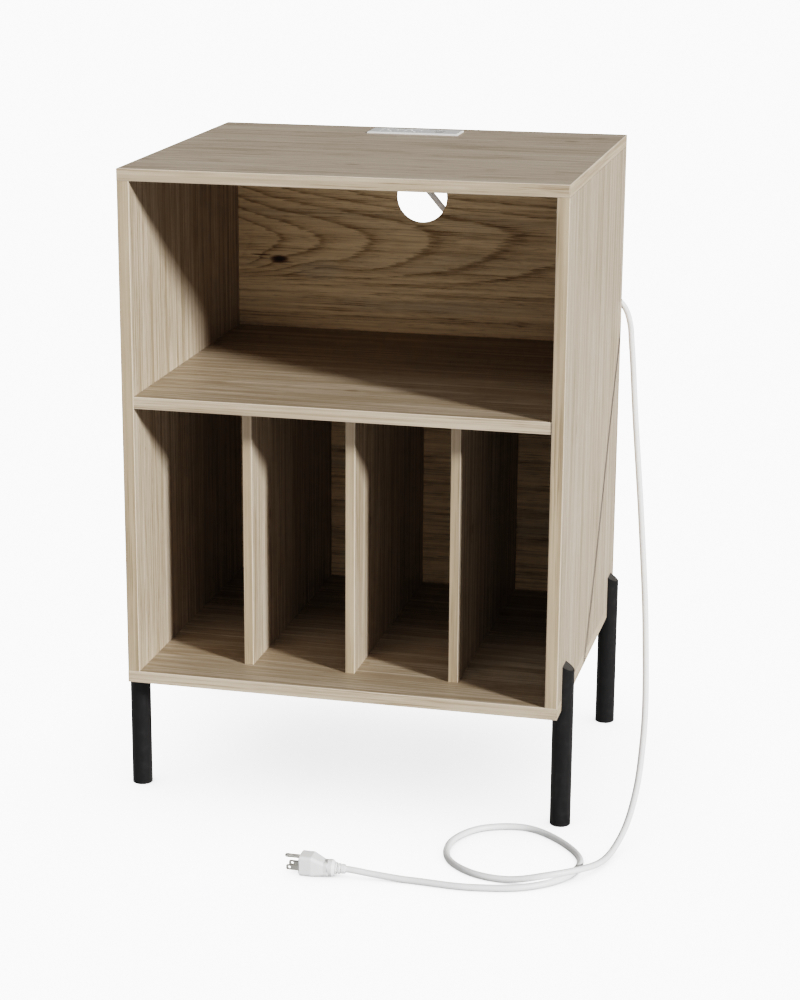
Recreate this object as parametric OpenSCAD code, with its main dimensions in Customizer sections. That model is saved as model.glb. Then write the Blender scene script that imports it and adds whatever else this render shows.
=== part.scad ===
// Stand for a record player: an open compartment above four upright record slots, on tube legs,
// with a mains and USB unit let into the top board. Millimetres, +Z up, front towards -Y.
// The origin is on the floor, under the middle of the cabinet.

/* [Cabinet] */
// Width over the side boards
cabinet_w = 540; // [500:5:640]
// Depth of the boards, front edge to rear edge
cabinet_d = 450; // [420:5:500]
// Clear height of the record slots
slot_h = 336; // [325:1:380]
// Clear height of the upper compartment
bay_h = 261; // [220:1:300]
// Thickness of the carcass boards
board_t = 15; // [15:0.5:18]
// Thickness of the dividers
divider_t = 12; // [10:0.5:15]
// Set-back of the dividers from the front edge
divider_setback = 60; // [20:1:90]
// Set-back of the shelf from the front edge
shelf_setback = 1; // [0:0.5:5]
// Play at each end of the shelf
shelf_play = 0.3; // [0.1:0.1:0.8]
// Thickness of the glued edge bands
band_t = 1; // [0.6:0.1:1.5]
// Radius on the outer corners of the bands
band_r = 0.8; // [0.3:0.1:1.2]

/* [Back board] */
// Thickness of the back board
back_t = 3; // [2.5:0.1:4]
// Set-back of the back board from the rear edges
back_inset = 0.6; // [0.6:0.1:1.5]
// Width of the rebate that holds the back board
rebate_w = 8; // [6:0.5:9]
// Play around the back board, and in front of it
back_play = 0.2; // [0.1:0.1:0.5]
// Diameter of the cable hole
cable_hole_d = 68; // [50:1:80]
// Centre of the cable hole below the underside of the top
cable_hole_drop = 76; // [60:1:120]
// Diameter of the back board's nails
nail_d = 1.4; // [1:0.1:2]
// Length of the nails
nail_l = 18; // [14:1:22]
// Diameter of the nail heads
nail_head_d = 3.5; // [2.5:0.1:4.5]
// Thickness of the nail heads
nail_head_t = 0.6; // [0.4:0.1:0.6]
// Distance of the outer nails from the inner corners
nail_inset = 40; // [25:1:60]

/* [Legs] */
// Height of the bottom board above the floor
leg_h = 151; // [100:1:200]
// Outer diameter of the tube
tube_d = 25.4; // [22:0.1:32]
// Wall of the tube
tube_wall = 1.5; // [1:0.1:2]
// Axis of the front legs behind the front edge
leg_front_inset = 46; // [40:1:70]
// Axis of the rear legs before the rear edge
leg_rear_inset = 38; // [36:1:70]
// Height of the half tube above the underside of the cabinet
leg_rise = 56; // [40:1:80]
// Fall of the closing plate, outwards
cap_slope = 30; // [0:1:45]
// Thickness of the closing plate
cap_t = 1.5; // [1:0.1:3]
// Width of the seat plate under the bottom board
seat_w = 48; // [44:1:60]
// Depth of the seat plate
seat_d = 60; // [50:1:66]
// Thickness of the seat plate
seat_t = 3; // [2:0.5:4]
// Distance of the seat plate's holes from its edges
seat_hole_inset = 9; // [8:0.5:11]
// Diameter of the holes in the seat plate
seat_hole_d = 4.6; // [4.4:0.1:5.5]
// Thickness of the foot glide's rim
foot_rim_t = 2; // [1.5:0.1:4]
// Height of the foot glide's stem in the tube
foot_stem_h = 18; // [10:1:25]
// Wall of the foot glide's stem
foot_stem_wall = 2.5; // [1.5:0.1:4]
// Play between the stem and the tube
foot_play = 0.1; // [0.05:0.05:0.2]

/* [Board joints] */
// Diameter of the cam locks
cam_d = 14.8; // [14:0.1:15]
// Thickness of the cam locks
cam_t = 11.8; // [11:0.1:12]
// Depth of the bores for the cam locks
cam_bore_h = 12; // [12:0.1:13]
// Distance from the board's end to the cam's axis
cam_reach = 34; // [30:1:40]
// Distance of the cams from the front and rear edges
cam_inset = 60; // [50:1:80]
// Distance of the top's front cams from the front edge, out of sight behind it
top_cam_setback = 285; // [275:1:295]
// Diameter of the cam bolt's threaded end
bolt_thread_d = 5; // [4:0.1:6]
// Length of the threaded end
bolt_thread_l = 10.5; // [8:0.5:11]
// Diameter of the bolt's shank
bolt_d = 6; // [5:0.1:7]
// Diameter of the bolt's neck
bolt_neck_d = 3.6; // [3:0.1:4.2]
// Diameter of the bolt's head
bolt_head_d = 6.4; // [5.5:0.1:6.6]
// Thickness of the bolt's head
bolt_head_l = 3; // [2:0.1:4]
// Diameter of the cover discs
cover_d = 17; // [16:0.5:20]
// Thickness of the cover discs
cover_t = 0.5; // [0.3:0.1:1]
// Diameter of the dowels
dowel_d = 8; // [6:0.5:8]
// Length of the dowels
dowel_l = 30; // [26:1:36]
// Depth of the dowels in the board's face
dowel_face_l = 10; // [8:0.5:11]
// Distance of the dowels from the front and rear edges
dowel_inset = 100; // [85:1:110]
// Distance of the top's foremost dowels from the front edge
top_dowel_inset = 40; // [25:1:60]
// Diameter of the dividers' pegs
peg_d = 6; // [5:0.5:7]
// Length of the pegs
peg_l = 28; // [24:1:32]
// Depth of the pegs in the shelf
peg_face_l = 9; // [7:0.5:11]
// Distance of the dividers' pegs and screws from their ends
peg_inset = 50; // [40:1:80]
// Diameter of the long screws' heads
long_head_d = 10; // [9:0.1:11]
// Thickness of the long screws' heads
long_head_t = 3; // [2:0.1:4]
// Diameter of the long screws' collars
long_collar_d = 7; // [6.5:0.1:8]
// Diameter of the long screws' threads
long_thread_d = 6; // [5:0.1:6.4]
// Length of the long screws
long_screw_l = 50; // [40:1:60]
// Distance of the long screws from the front and rear edges
long_screw_inset = 125; // [120:1:150]
// Diameter of the dividers' screw heads
slim_head_d = 8; // [7:0.1:9]
// Diameter of the dividers' screws
slim_screw_d = 4; // [3:0.1:5]
// Length of the dividers' screws
slim_screw_l = 40; // [30:1:50]
// Diameter of the legs' screws
leg_screw_d = 4; // [3:0.1:4.2]
// Length of the legs' screws under the head
leg_screw_l = 13; // [10:0.5:15]
// Diameter of the legs' screw heads
leg_head_d = 8; // [7:0.1:9]
// Thickness of the legs' screw heads
leg_head_t = 2.2; // [1.5:0.1:3]
// Play around dowels, cams and pegs, and beyond their ends
joint_play = 0.1; // [0.05:0.05:0.2]
// Play around screws and nails
thread_play = 0.03; // [0.01:0.01:0.05]

/* [Power unit] */
// Overlap of the face plate at its two ends
face_lap_x = 5; // [3:0.5:8]
// Overlap of the face plate along the front and rear
face_lap_y = 4; // [3:0.5:6]
// Thickness of the face plate
face_t = 2.2; // [1.6:0.1:3]
// Bevel around the face plate
face_bevel = 1.3; // [0.5:0.1:1.5]
// Gap between the face plate and the rear edge of the top
face_margin = 25.5; // [20:0.5:40]
// Height of the lip that sets the face plate in the housing
face_lip_h = 5; // [3:0.5:8]
// Wall of the lip
face_lip_t = 1.5; // [1.2:0.1:2]
// Height of the housing below the top board
housing_drop = 57; // [52:1:62]
// Wall of the housing
housing_wall = 2; // [1.5:0.1:2.5]
// Play around the housing in the cut-out
cutout_play = 1; // [0.5:0.1:2]
// Width that each mains socket takes
socket_cell = 32; // [31:0.5:36]
// Width that the USB ports take
usb_cell = 30; // [28:0.5:36]
// Width of a socket's face
socket_w = 28; // [25:0.5:28.5]
// Depth of a socket's face
socket_d = 27; // [25:0.5:30]
// Height of a socket insert below its face
socket_h = 11.8; // [10:0.1:14]
// Drop of the sockets' faces below the face plate
socket_drop = 0.2; // [0:0.1:0.5]
// Shoulder of a socket insert under the face plate
socket_shoulder = 0.8; // [0.5:0.1:1]
// Thickness of the shoulder
shoulder_t = 2; // [1:0.1:2.5]
// Play around the inserts
insert_play = 0.2; // [0.1:0.05:0.3]
// Distance between the blade slots
blade_pitch = 12.7; // [12:0.1:13]
// Distance from the blades' line to the ground pin
ground_drop = 11.9; // [11.6:0.1:12.2]
// Width of the blade slots
slot_gap = 2.2; // [2:0.1:3]
// Length of the line slots
line_slot_l = 7.4; // [7:0.1:8]
// Length of the neutral slots
neutral_slot_l = 8.8; // [8:0.1:9.5]
// Diameter of the ground holes
ground_hole_d = 5.4; // [5:0.1:5.6]
// Shift of the blade slots from the socket's middle
blade_shift = 5; // [4:0.1:6]
// Height of the contact carrier
carrier_h = 22; // [18:0.5:26]
// Play around the contacts in the carrier
contact_play = 0.3; // [0.1:0.1:0.4]
// Thickness of the brass
brass_t = 0.8; // [0.5:0.1:1]
// Width of a contact clip
clip_w = 7.6; // [6:0.1:7.8]
// Height of a contact clip
clip_h = 14; // [10:0.5:16]
// Opening of a contact clip
clip_gap = 1.4; // [1:0.1:1.5]
// Width of the contact bars
bar_w = 3; // [2:0.1:3]
// Width of a USB port
usb_w = 13.2; // [12:0.1:14]
// Depth of a USB port
usb_d = 5.8; // [5.4:0.1:6]
// Height of a USB port's shell
usb_h = 13; // [10:0.5:16]
// Distance between the two USB ports
usb_pitch = 11; // [9:0.5:11]
// Wall of a USB port's shell
usb_wall = 0.4; // [0.3:0.1:0.6]
// Thickness of a USB port's tongue
usb_tongue_t = 1.8; // [1.4:0.1:2.2]
// Thickness of the circuit board
pcb_t = 1.6; // [1:0.1:2]
// Diameter of the posts under the face plate
post_d = 5.6; // [5:0.1:6]
// Gap between a post and what stands beside it
post_gap = 0.2; // [0.1:0.05:0.3]
// Diameter of the unit's screws
unit_screw_d = 2.6; // [2:0.1:3]
// Length of the unit's screws under the head
unit_screw_l = 7; // [6:0.5:8]
// Diameter of the unit's screw heads
unit_head_d = 5; // [4:0.1:5.4]
// Thickness of the unit's screw heads
unit_head_t = 1.6; // [1:0.1:2]
// Clearance of the unit's screws in the piece that they clamp
unit_screw_play = 0.2; // [0.1:0.05:0.3]
// Width of the clamps
clamp_w = 20; // [14:0.5:24]
// Length of a clamp's foot under the top board
clamp_foot = 12; // [8:0.5:16]
// Height of a clamp on the housing
clamp_h = 36; // [28:1:44]
// Distance of a clamp's screws from each other and from its lower end
clamp_screw_step = 8; // [6:0.5:10]
// Thickness of the clamps
clamp_t = 1.5; // [1:0.1:2]

/* [Cord] */
// Diameter of the mains cord
cord_d = 8; // [7:0.1:8.2]
// Play around the cord in the gland and the plug
cord_play = 0.2; // [0.1:0.05:0.3]
// Diameter of the gland's collar
gland_collar_d = 16; // [14:0.1:16]
// Thickness of the gland's collar
gland_collar_t = 2.5; // [2:0.1:4]
// Diameter of the gland in the housing wall
gland_d = 11.6; // [11:0.1:12]
// Length of the gland inside the housing
gland_inner_l = 9; // [6:0.5:10]
// Length of the gland's boot outside the collar
gland_boot_l = 11; // [8:0.5:12]
// Length of the sheath inside the gland's inner end
sheath_inset = 3.5; // [2:0.5:5]
// Gap between the end of the sheath and the cores
core_gap = 0.3; // [0.1:0.1:0.5]
// Diameter of the insulated cores
core_d = 2.2; // [1.6:0.1:2.6]
// Side of the clip's foot on the back board
cord_clip_foot = 20; // [16:0.5:24]
// Wall of the cord clip
cord_clip_wall = 1.6; // [1.2:0.1:2]
// Play around the cord in the clip
cord_clip_play = 0.4; // [0.3:0.1:0.6]
// Length of the clip along the cord
cord_clip_l = 10; // [8:0.5:14]
// Mouth of the clip, which the cord is pressed through
cord_clip_mouth = 6.4; // [5:0.1:7]
// Distance of the clip from the side of the cabinet
cord_clip_inset = 29.5; // [25:0.5:60]
// Height of the clip below the middle of the cable hole
cord_clip_drop = 110.3; // [60:0.1:150]
// Length of the plug's blades
blade_l = 15.9; // [15:0.1:18]
// Width of the plug's blades
blade_w = 6.35; // [6:0.05:6.5]
// Thickness of the plug's blades
blade_t = 1.5; // [1.3:0.1:1.6]
// Length of the ground pin
ground_pin_l = 18.9; // [18:0.1:22]
// Diameter of the ground pin
ground_pin_d = 4.8; // [4:0.1:5]
// Depth of the blades and the pin in the plug's body
blade_root = 6; // [4:0.5:10]

/* [Hidden] */
$fn = 64;
facets = 32;   // on hulls
eps = 0.01;    // overlap of cuts
big = 200;     // larger than any piece of a leg

// levels above the floor
bottom_z = leg_h;
slot_z = bottom_z + board_t;
shelf_z = slot_z + slot_h;
bay_z = shelf_z + board_t;
top_z = bay_z + bay_h;
lid_z = top_z + board_t;

// planes of the cabinet
half_w = cabinet_w / 2;
inner_w = half_w - board_t;
front_y = -cabinet_d / 2;
rear_y = cabinet_d / 2;
back_y = rear_y - back_inset - back_t;   // front face of the back board
inside_rear_y = back_y - back_play;      // rear ends of shelf and dividers
shelf_front_y = front_y + shelf_setback;
divider_front_y = front_y + divider_setback;
slot_w = (2 * inner_w - 3 * divider_t) / 4;
divider_pitch = slot_w + divider_t;
back_half_w = inner_w + rebate_w - back_play;
hole_z = top_z - cable_hole_drop;

// places of the board joints
shelf_cam_ys = [front_y + cam_inset, rear_y - cam_inset];
top_cam_ys = [front_y + top_cam_setback, rear_y - cam_inset];
dowel_ys = [front_y + dowel_inset, rear_y - dowel_inset];
top_dowel_ys = concat([front_y + top_dowel_inset], dowel_ys);
long_screw_ys = [front_y + long_screw_inset, rear_y - long_screw_inset];
peg_ys = [divider_front_y + peg_inset, inside_rear_y - peg_inset];
side_mid_x = half_w - board_t / 2;
shelf_mid_z = shelf_z + board_t / 2;
shelf_end_x = inner_w - shelf_play;
bolt_channel_d = bolt_d + 1;

// places of the nails
nail_xs = [for (i = [0:3]) (i / 1.5 - 1) * (inner_w - nail_inset)];
nail_zs = [for (i = [0:4]) slot_z + nail_inset + i / 4 * (top_z - slot_z - 2 * nail_inset)];
nail_side_x = inner_w + rebate_w / 2;
nail_top_z = top_z + rebate_w / 2;
nail_bottom_z = slot_z - rebate_w / 2;

// legs
bore_d = tube_d - 2 * tube_wall;
leg_ys = [front_y + leg_front_inset, rear_y - leg_rear_inset];
seat_hole_xs = [-(seat_w - seat_hole_inset), -(tube_d / 2 + seat_hole_inset)];
seat_hole_ys = [-(seat_d / 2 - seat_hole_inset), seat_d / 2 - seat_hole_inset];

// power unit, placed from its own middle: along X it holds a row of posts, two socket cells,
// the USB cell and another row of posts
post_strip = post_d + 2 * post_gap;
inner_half_w = (2 * post_strip + 2 * socket_cell + usb_cell) / 2;
inner_half_d = socket_d / 2 + socket_shoulder + insert_play + 0.5;
housing_w = 2 * (inner_half_w + housing_wall);
housing_d = 2 * (inner_half_d + housing_wall);
face_w = housing_w + 2 * face_lap_x;
face_d = housing_d + 2 * face_lap_y;
unit_y = rear_y - face_margin - face_d / 2;
floor_z = top_z - housing_drop;                // underside of the housing
face_z = lid_z + face_t;                       // upper surface of the face plate
cells_x = post_strip - inner_half_w;           // where the first socket cell begins
socket_xs = [cells_x + socket_cell / 2, cells_x + 3 * socket_cell / 2];
usb_x = inner_half_w - post_strip - usb_cell / 2;
socket_face_z = face_z - socket_drop;
socket_base_z = socket_face_z - socket_h;
carrier_z = socket_base_z - carrier_h;
carrier_end = socket_cell / 2 - 0.5;           // carrier beyond the sockets' middles
carrier_half_d = inner_half_d - 1;
line_x = blade_pitch / 2;
clip_leaf_x = clip_gap / 2 + brass_t;
ground_tube_r = ground_hole_d / 2 + brass_t;
line_bar_gap = 0.4;                            // from the clips to the line bar
neutral_bar_gap = 0.8;                         // from the clips to the neutral bar
ground_bar_z = carrier_z - 2 * brass_t - 0.6;  // the ground bar lies below the other two
post_x = inner_half_w - post_gap - post_d / 2;
post_y = inner_half_d - post_gap - post_d / 2;
pcb_z = socket_face_z - usb_h - pcb_t;
pcb_lap = 4;                                   // circuit board beyond the ports
pcb_half_w = usb_w / 2 + pcb_lap;
pcb_half_d = inner_half_d - 1;
pcb_posts = [[pcb_half_w - post_d / 2, pcb_half_d - post_d / 2],
    [-(pcb_half_w - post_d / 2), -(pcb_half_d - post_d / 2)]];
clamp_screw_zs = [for (i = [1, 2]) top_z - clamp_h + i * clamp_screw_step];

// gland and cord
gland_x = -14;
gland_z = floor_z + gland_collar_d / 2;
gland_y = unit_y + housing_d / 2;              // outer face of the housing's rear wall
cord_bore_d = cord_d + 2 * cord_play;

// clip: it holds the cord on the back board before the cord turns round the rear corner
cord_clip_place = [half_w - cord_clip_inset, back_y + back_t, hole_z - cord_clip_drop];
cord_clip_fall = 29.7;   // slope of the cord in the clip

// route of the mains cord: from the gland through the cable hole, across the back to the clip, round
// the rear corner, in the air to the floor beside the front leg, round one loop and into the plug
cord_route = [[gland_x, gland_y - gland_inner_l + sheath_inset, gland_z],
    [gland_x, gland_y + gland_collar_t + gland_boot_l, gland_z], [-12, 222, 727], [-7.5, 232.5, 721.5],
    [0, 240, 713], [9, 242.5, 702.5], [27, 243, 682], [62, 242, 658], [120, 239.5, 630],
    [180, 234, 607], [234, 230.4, 595.4], [247, 230.4, 588], [262, 231, 577.5], [274.8, 228.3, 564],
    [283, 218, 546], [288, 201, 525], [304.8, 134, 443.5], [329.6, 43, 320], [350.8, -49, 207],
    [363.3, -140, 102], [362.5, -186, 54], [356.5, -225, 24], [349, -255, 10.5], [339, -294, 7],
    [316, -337, 12], [287, -359, 12], [243, -367, 5], [200, -360, 4], [162, -327, 4],
    [154, -277, 4], [180, -229, 4], [232, -212, 4], [284, -245, 4], [314, -297, 4],
    [303, -344, 4], [265, -380, 4], [205, -397, 4], [125, -396, 4], [80, -397, 7.5],
    [58, -398, 10], [44, -398, 10]];
cord_ring_step = 45;
cord_sides = 10;

// plug: it lies on the floor with its blades towards -X
plug_x = 0;
plug_y = -398;
plug_cord_z = 10;
plug_blade_z = 8;
plug_head_w = 24;
plug_head_h = 24.4;
plug_head_l = 15;
plug_neck_w = 19;
plug_neck_h = 16.5;
plug_neck_x = 29;
plug_neck_z = 1.2;
plug_collar_x = 33;
plug_collar_l = 9;
plug_collar_d = 20;
plug_relief_l = 12;
plug_relief_d = 14.5;
plug_tip_d = 11;
plug_corner_r = 4;
plug_pin_z = plug_blade_z + ground_drop;

wood = [0.72, 0.66, 0.58];
wood_edge = [0.80, 0.74, 0.66];
steel = [0.75, 0.75, 0.77];
brass = [0.80, 0.66, 0.32];
white_plastic = [0.93, 0.93, 0.92];

// ---------- shared shapes ----------

// a box given by its two corners
module span(low, high) {
    translate(low) cube(high - low);
}

// the same piece on the left and the right
module both_sides() {
    children();
    mirror([1, 0, 0]) children();
}

// a solid of revolution from [radius, height] steps, lowest first
module turned(steps, grow = 0) {
    rotate_extrude()
        polygon(concat([[0, steps[0][1]]], [for (s = steps) [s[0] + grow, s[1]]],
            [[0, steps[len(steps) - 1][1]]]));
}

// section of an edge band lying along X: its outer corners, at low Y, are rounded
module band_section(width) {
    r = band_r;
    intersection() {
        square([width, band_t]);
        union() {
            translate([0, r]) square([width, band_t]);
            translate([r, 0]) square([width - 2 * r, band_t]);
            for (x = [r, width - r]) translate([x, r]) circle(r);
        }
    }
}

// upright band for a front edge, from its low left front corner
module upright_band(x, y, z, width, height) {
    translate([x, y, z]) linear_extrude(height) band_section(width);
}

// band along X for a front edge, from its low left front corner
module level_band(x, y, z, length, width) {
    translate([x + length, y, z]) rotate([0, -90, 0]) linear_extrude(length) band_section(width);
}

// ---------- fittings, each made once and reused as its own bore ----------

// cam bolt along +Z: thread above the joint plane, head on the cam's axis below it
module cam_bolt() {
    neck_top = -cam_reach + cam_d / 2 + 0.4;
    turned([[bolt_head_d / 2, -cam_reach - bolt_head_l / 2], [bolt_head_d / 2, -cam_reach + bolt_head_l / 2],
        [bolt_neck_d / 2, -cam_reach + bolt_head_l / 2], [bolt_neck_d / 2, neck_top], [bolt_d / 2, neck_top],
        [bolt_d / 2, 0], [bolt_thread_d / 2, 0], [bolt_thread_d / 2, bolt_thread_l]]);
}

// bore for a cam bolt's thread, in the face board
module cam_bolt_pilot() {
    translate([0, 0, -eps])
        cylinder(d = bolt_thread_d + 2 * thread_play, h = bolt_thread_l + joint_play + eps);
}

// bore for a cam bolt's shank, in the edge board
module cam_bolt_channel() {
    translate([0, 0, -cam_reach]) cylinder(d = bolt_channel_d, h = cam_reach + eps);
}

// cam lock below the plane Z = 0 of its board's face; its bolt comes from +X
module cam_lock() {
    gap = 0.3;       // around the bolt's head and neck
    recess_l = 6.4;  // cross recess for the screwdriver
    recess_w = 1.4;
    recess_h = 2.4;
    pocket = bolt_head_d + 2 * gap;
    mouth = bolt_neck_d + 2 * gap;
    axis_z = -board_t / 2;
    difference() {
        translate([0, 0, -cam_t]) cylinder(d = cam_d, h = cam_t - joint_play);
        translate([-bolt_head_l / 2 - 0.4, -pocket / 2, axis_z - pocket / 2])
            cube([bolt_head_l + 0.8, pocket, pocket]);
        translate([0, -mouth / 2, axis_z - mouth / 2]) cube([cam_d, mouth, mouth]);
        for (turn = [0, 90]) rotate([0, 0, turn])
            span([-recess_l / 2, -recess_w / 2, -recess_h], [recess_l / 2, recess_w / 2, eps]);
    }
}

module cam_bore() {
    translate([0, 0, -cam_bore_h]) cylinder(d = cam_d + 2 * joint_play, h = cam_bore_h + eps);
}

// peg or dowel along +Z: face_l above the joint plane, the rest below it
module peg(d, length, face_l) {
    translate([0, 0, face_l - length]) cylinder(d = d, h = length);
}

module peg_bore(d, length, face_l) {
    translate([0, 0, face_l - length - joint_play])
        cylinder(d = d + 2 * joint_play, h = length + 2 * joint_play);
}

// long screw up through the bottom board, from the underside at Z = 0
module long_screw(grow = 0) {
    turned([[long_head_d / 2, -grow], [long_head_d / 2, long_head_t + grow],
        [long_collar_d / 2, long_head_t + grow], [long_collar_d / 2, board_t], [long_thread_d / 2, board_t],
        [long_thread_d / 2, long_screw_l + grow]], grow);
}

// countersunk screw up through the bottom board, from the underside at Z = 0
module slim_screw(grow = 0) {
    sink = (slim_head_d - slim_screw_d) / 2;
    turned([[slim_head_d / 2, -grow], [slim_head_d / 2, 0.4], [slim_screw_d / 2, 0.4 + sink],
        [slim_screw_d / 2, slim_screw_l + grow]], grow);
}

// pan-head screw along +Z, the head's underside at Z = 0
module pan_screw(d, length, head_d, head_t) {
    difference() {
        turned([[head_d / 2 - 0.6, -head_t], [head_d / 2, -head_t + 0.8], [head_d / 2, 0], [d / 2, 0],
            [d / 2, length]]);
        for (turn = [0, 90]) rotate([0, 0, turn])
            translate([-head_d / 3, -0.4, -head_t - eps]) cube([head_d / 1.5, 0.8, head_t / 2]);
    }
}

module socket_recess(across, depth) {
    translate([0, 0, -eps]) cylinder(d = across, h = depth, $fn = 6);
}

// places of the fittings, for the pieces on the right; both_sides() mirrors them

module at_top_cams() {
    for (y = top_cam_ys) translate([side_mid_x, y, top_z]) children();
}

module at_shelf_cams() {
    for (y = shelf_cam_ys) translate([inner_w, y, shelf_mid_z]) rotate([0, 90, 0]) children();
}

module at_top_dowels() {
    for (y = top_dowel_ys) translate([side_mid_x, y, top_z]) children();
}

module at_shelf_dowels() {
    for (y = dowel_ys) translate([inner_w, y, shelf_mid_z]) rotate([0, 90, 0]) children();
}

module at_bottom_dowels() {
    for (y = dowel_ys) translate([side_mid_x, y, slot_z]) rotate([180, 0, 0]) children();
}

module at_side_screws() {
    for (y = long_screw_ys) translate([side_mid_x, y, bottom_z]) children();
}

module at_dividers() {
    for (i = [-1:1]) translate([i * divider_pitch, 0, 0]) children();
}

module at_divider_pegs() {
    at_dividers() for (y = peg_ys) translate([0, y, shelf_z]) children();
}

module at_divider_screws() {
    at_dividers() for (y = peg_ys) translate([0, y, bottom_z]) children();
}

module at_leg(front) {
    translate([half_w, leg_ys[front ? 0 : 1], bottom_z]) children();
}

module at_leg_screws() {
    for (front = [true, false]) at_leg(front)
        for (x = seat_hole_xs, y = seat_hole_ys) translate([x, y, -seat_t]) children();
}

module at_nails() {
    for (x = nail_xs, z = [nail_bottom_z, shelf_mid_z, nail_top_z]) translate([x, rear_y, z]) children();
    for (x = [-nail_side_x, nail_side_x], z = nail_zs) translate([x, rear_y, z]) children();
}

// nail driven towards -Y, its head on the back board
module nail(grow = 0) {
    translate([0, -back_inset, 0]) rotate([90, 0, 0]) {
        translate([0, 0, -nail_head_t - grow])
            cylinder(d = nail_head_d + 2 * grow, h = nail_head_t + grow, $fn = 24);
        translate([0, 0, -grow]) cylinder(d = nail_d + 2 * grow, h = nail_l + 2 * grow, $fn = 24);
    }
}

// ---------- carcass ----------

module rebate_cut() {
    r = inner_w + rebate_w;
    span([-r, back_y, slot_z - rebate_w], [r, rear_y + eps, top_z + rebate_w]);
}

module top_board() {
    color(wood) difference() {
        span([-half_w + band_t, front_y + band_t, top_z], [half_w - band_t, rear_y, lid_z]);
        span([-housing_w / 2 - cutout_play, unit_y - housing_d / 2 - cutout_play, top_z - eps],
            [housing_w / 2 + cutout_play, unit_y + housing_d / 2 + cutout_play, lid_z + eps]);
        rebate_cut();
        both_sides() {
            at_top_cams() cam_bolt_pilot();
            at_top_dowels() peg_bore(dowel_d, dowel_l, dowel_face_l);
        }
        at_nails() nail(thread_play);
    }
}

module bottom_board() {
    color(wood) difference() {
        span([-half_w + band_t, front_y + band_t, bottom_z], [half_w - band_t, rear_y, slot_z]);
        rebate_cut();
        both_sides() {
            at_bottom_dowels() peg_bore(dowel_d, dowel_l, dowel_face_l);
            at_side_screws() long_screw(thread_play);
            at_leg_screws() cylinder(d = leg_screw_d + 2 * thread_play, h = leg_screw_l + joint_play);
        }
        at_divider_screws() slim_screw(thread_play);
        at_nails() nail(thread_play);
    }
}

module side_board_right() {
    color(wood) difference() {
        span([inner_w, front_y + band_t, slot_z], [half_w, rear_y, top_z]);
        rebate_cut();
        at_top_cams() {
            cam_bolt_channel();
            translate([-board_t / 2, 0, -cam_reach]) rotate([0, -90, 0]) cam_bore();
        }
        at_top_dowels() peg_bore(dowel_d, dowel_l, dowel_face_l);
        at_bottom_dowels() peg_bore(dowel_d, dowel_l, dowel_face_l);
        at_side_screws() long_screw(thread_play);
        at_shelf_cams() cam_bolt_pilot();
        at_shelf_dowels() peg_bore(dowel_d, dowel_l, dowel_face_l);
        at_nails() nail(thread_play);
    }
}

module side_board_left() {
    mirror([1, 0, 0]) side_board_right();
}

module middle_shelf() {
    color(wood) difference() {
        span([-shelf_end_x, shelf_front_y + band_t, shelf_z], [shelf_end_x, inside_rear_y, bay_z]);
        both_sides() {
            at_shelf_cams() {
                cam_bolt_channel();
                translate([board_t / 2, 0, -cam_reach]) rotate([0, 90, 0]) cam_bore();
            }
            at_shelf_dowels() peg_bore(dowel_d, dowel_l, dowel_face_l);
        }
        at_divider_pegs() peg_bore(peg_d, peg_l, peg_face_l);
        at_nails() nail(thread_play);
    }
}

module divider() {
    color(wood) difference() {
        span([-divider_t / 2, divider_front_y + band_t, slot_z], [divider_t / 2, inside_rear_y, shelf_z]);
        for (y = peg_ys) {
            translate([0, y, shelf_z]) peg_bore(peg_d, peg_l, peg_face_l);
            translate([0, y, bottom_z]) slim_screw(thread_play);
        }
    }
}

module back_board() {
    color(wood) difference() {
        span([-back_half_w, back_y, slot_z - rebate_w + back_play],
            [back_half_w, back_y + back_t, top_z + rebate_w - back_play]);
        translate([0, back_y - eps, hole_z]) rotate([-90, 0, 0])
            cylinder(d = cable_hole_d, h = back_t + 2 * eps, $fn = 96);
        at_nails() nail(thread_play);
    }
}

// ---------- edge bands ----------

// bands round the front and the two ends of a full-width board
module wide_board_bands(z) {
    level_band(-half_w, front_y, z, cabinet_w, board_t);
    both_sides() translate([half_w, front_y + band_t, z]) rotate([0, 0, 90])
        level_band(0, 0, 0, cabinet_d - band_t, board_t);
}

module top_edge_bands() {
    color(wood_edge) wide_board_bands(top_z);
}

module bottom_edge_bands() {
    color(wood_edge) wide_board_bands(bottom_z);
}

module side_edge_bands() {
    color(wood_edge) both_sides() upright_band(inner_w, front_y, slot_z, board_t, top_z - slot_z);
}

module shelf_edge_band() {
    color(wood_edge) level_band(-shelf_end_x, shelf_front_y, shelf_z, 2 * shelf_end_x, board_t);
}

module divider_edge_bands() {
    color(wood_edge) at_dividers() upright_band(-divider_t / 2, divider_front_y, slot_z, divider_t, slot_h);
}

// ---------- board fittings ----------

module cam_locks() {
    color(steel) both_sides() {
        at_top_cams() translate([-board_t / 2, 0, -cam_reach]) rotate([0, -90, 0]) cam_lock();
        at_shelf_cams() translate([board_t / 2, 0, -cam_reach]) rotate([0, 90, 0])
            rotate([0, 0, 180]) cam_lock();
    }
}

module cam_bolts() {
    color(steel) both_sides() {
        at_top_cams() cam_bolt();
        at_shelf_cams() cam_bolt();
    }
}

module cam_covers() {
    color(wood) both_sides() at_top_cams() translate([-board_t / 2 - cover_t, 0, -cam_reach])
        rotate([0, 90, 0]) cylinder(d = cover_d, h = cover_t);
}

module dowels() {
    color("burlywood") both_sides() {
        at_top_dowels() peg(dowel_d, dowel_l, dowel_face_l);
        at_shelf_dowels() peg(dowel_d, dowel_l, dowel_face_l);
        at_bottom_dowels() peg(dowel_d, dowel_l, dowel_face_l);
    }
}

module divider_pegs() {
    color("burlywood") at_divider_pegs() peg(peg_d, peg_l, peg_face_l);
}

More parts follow.
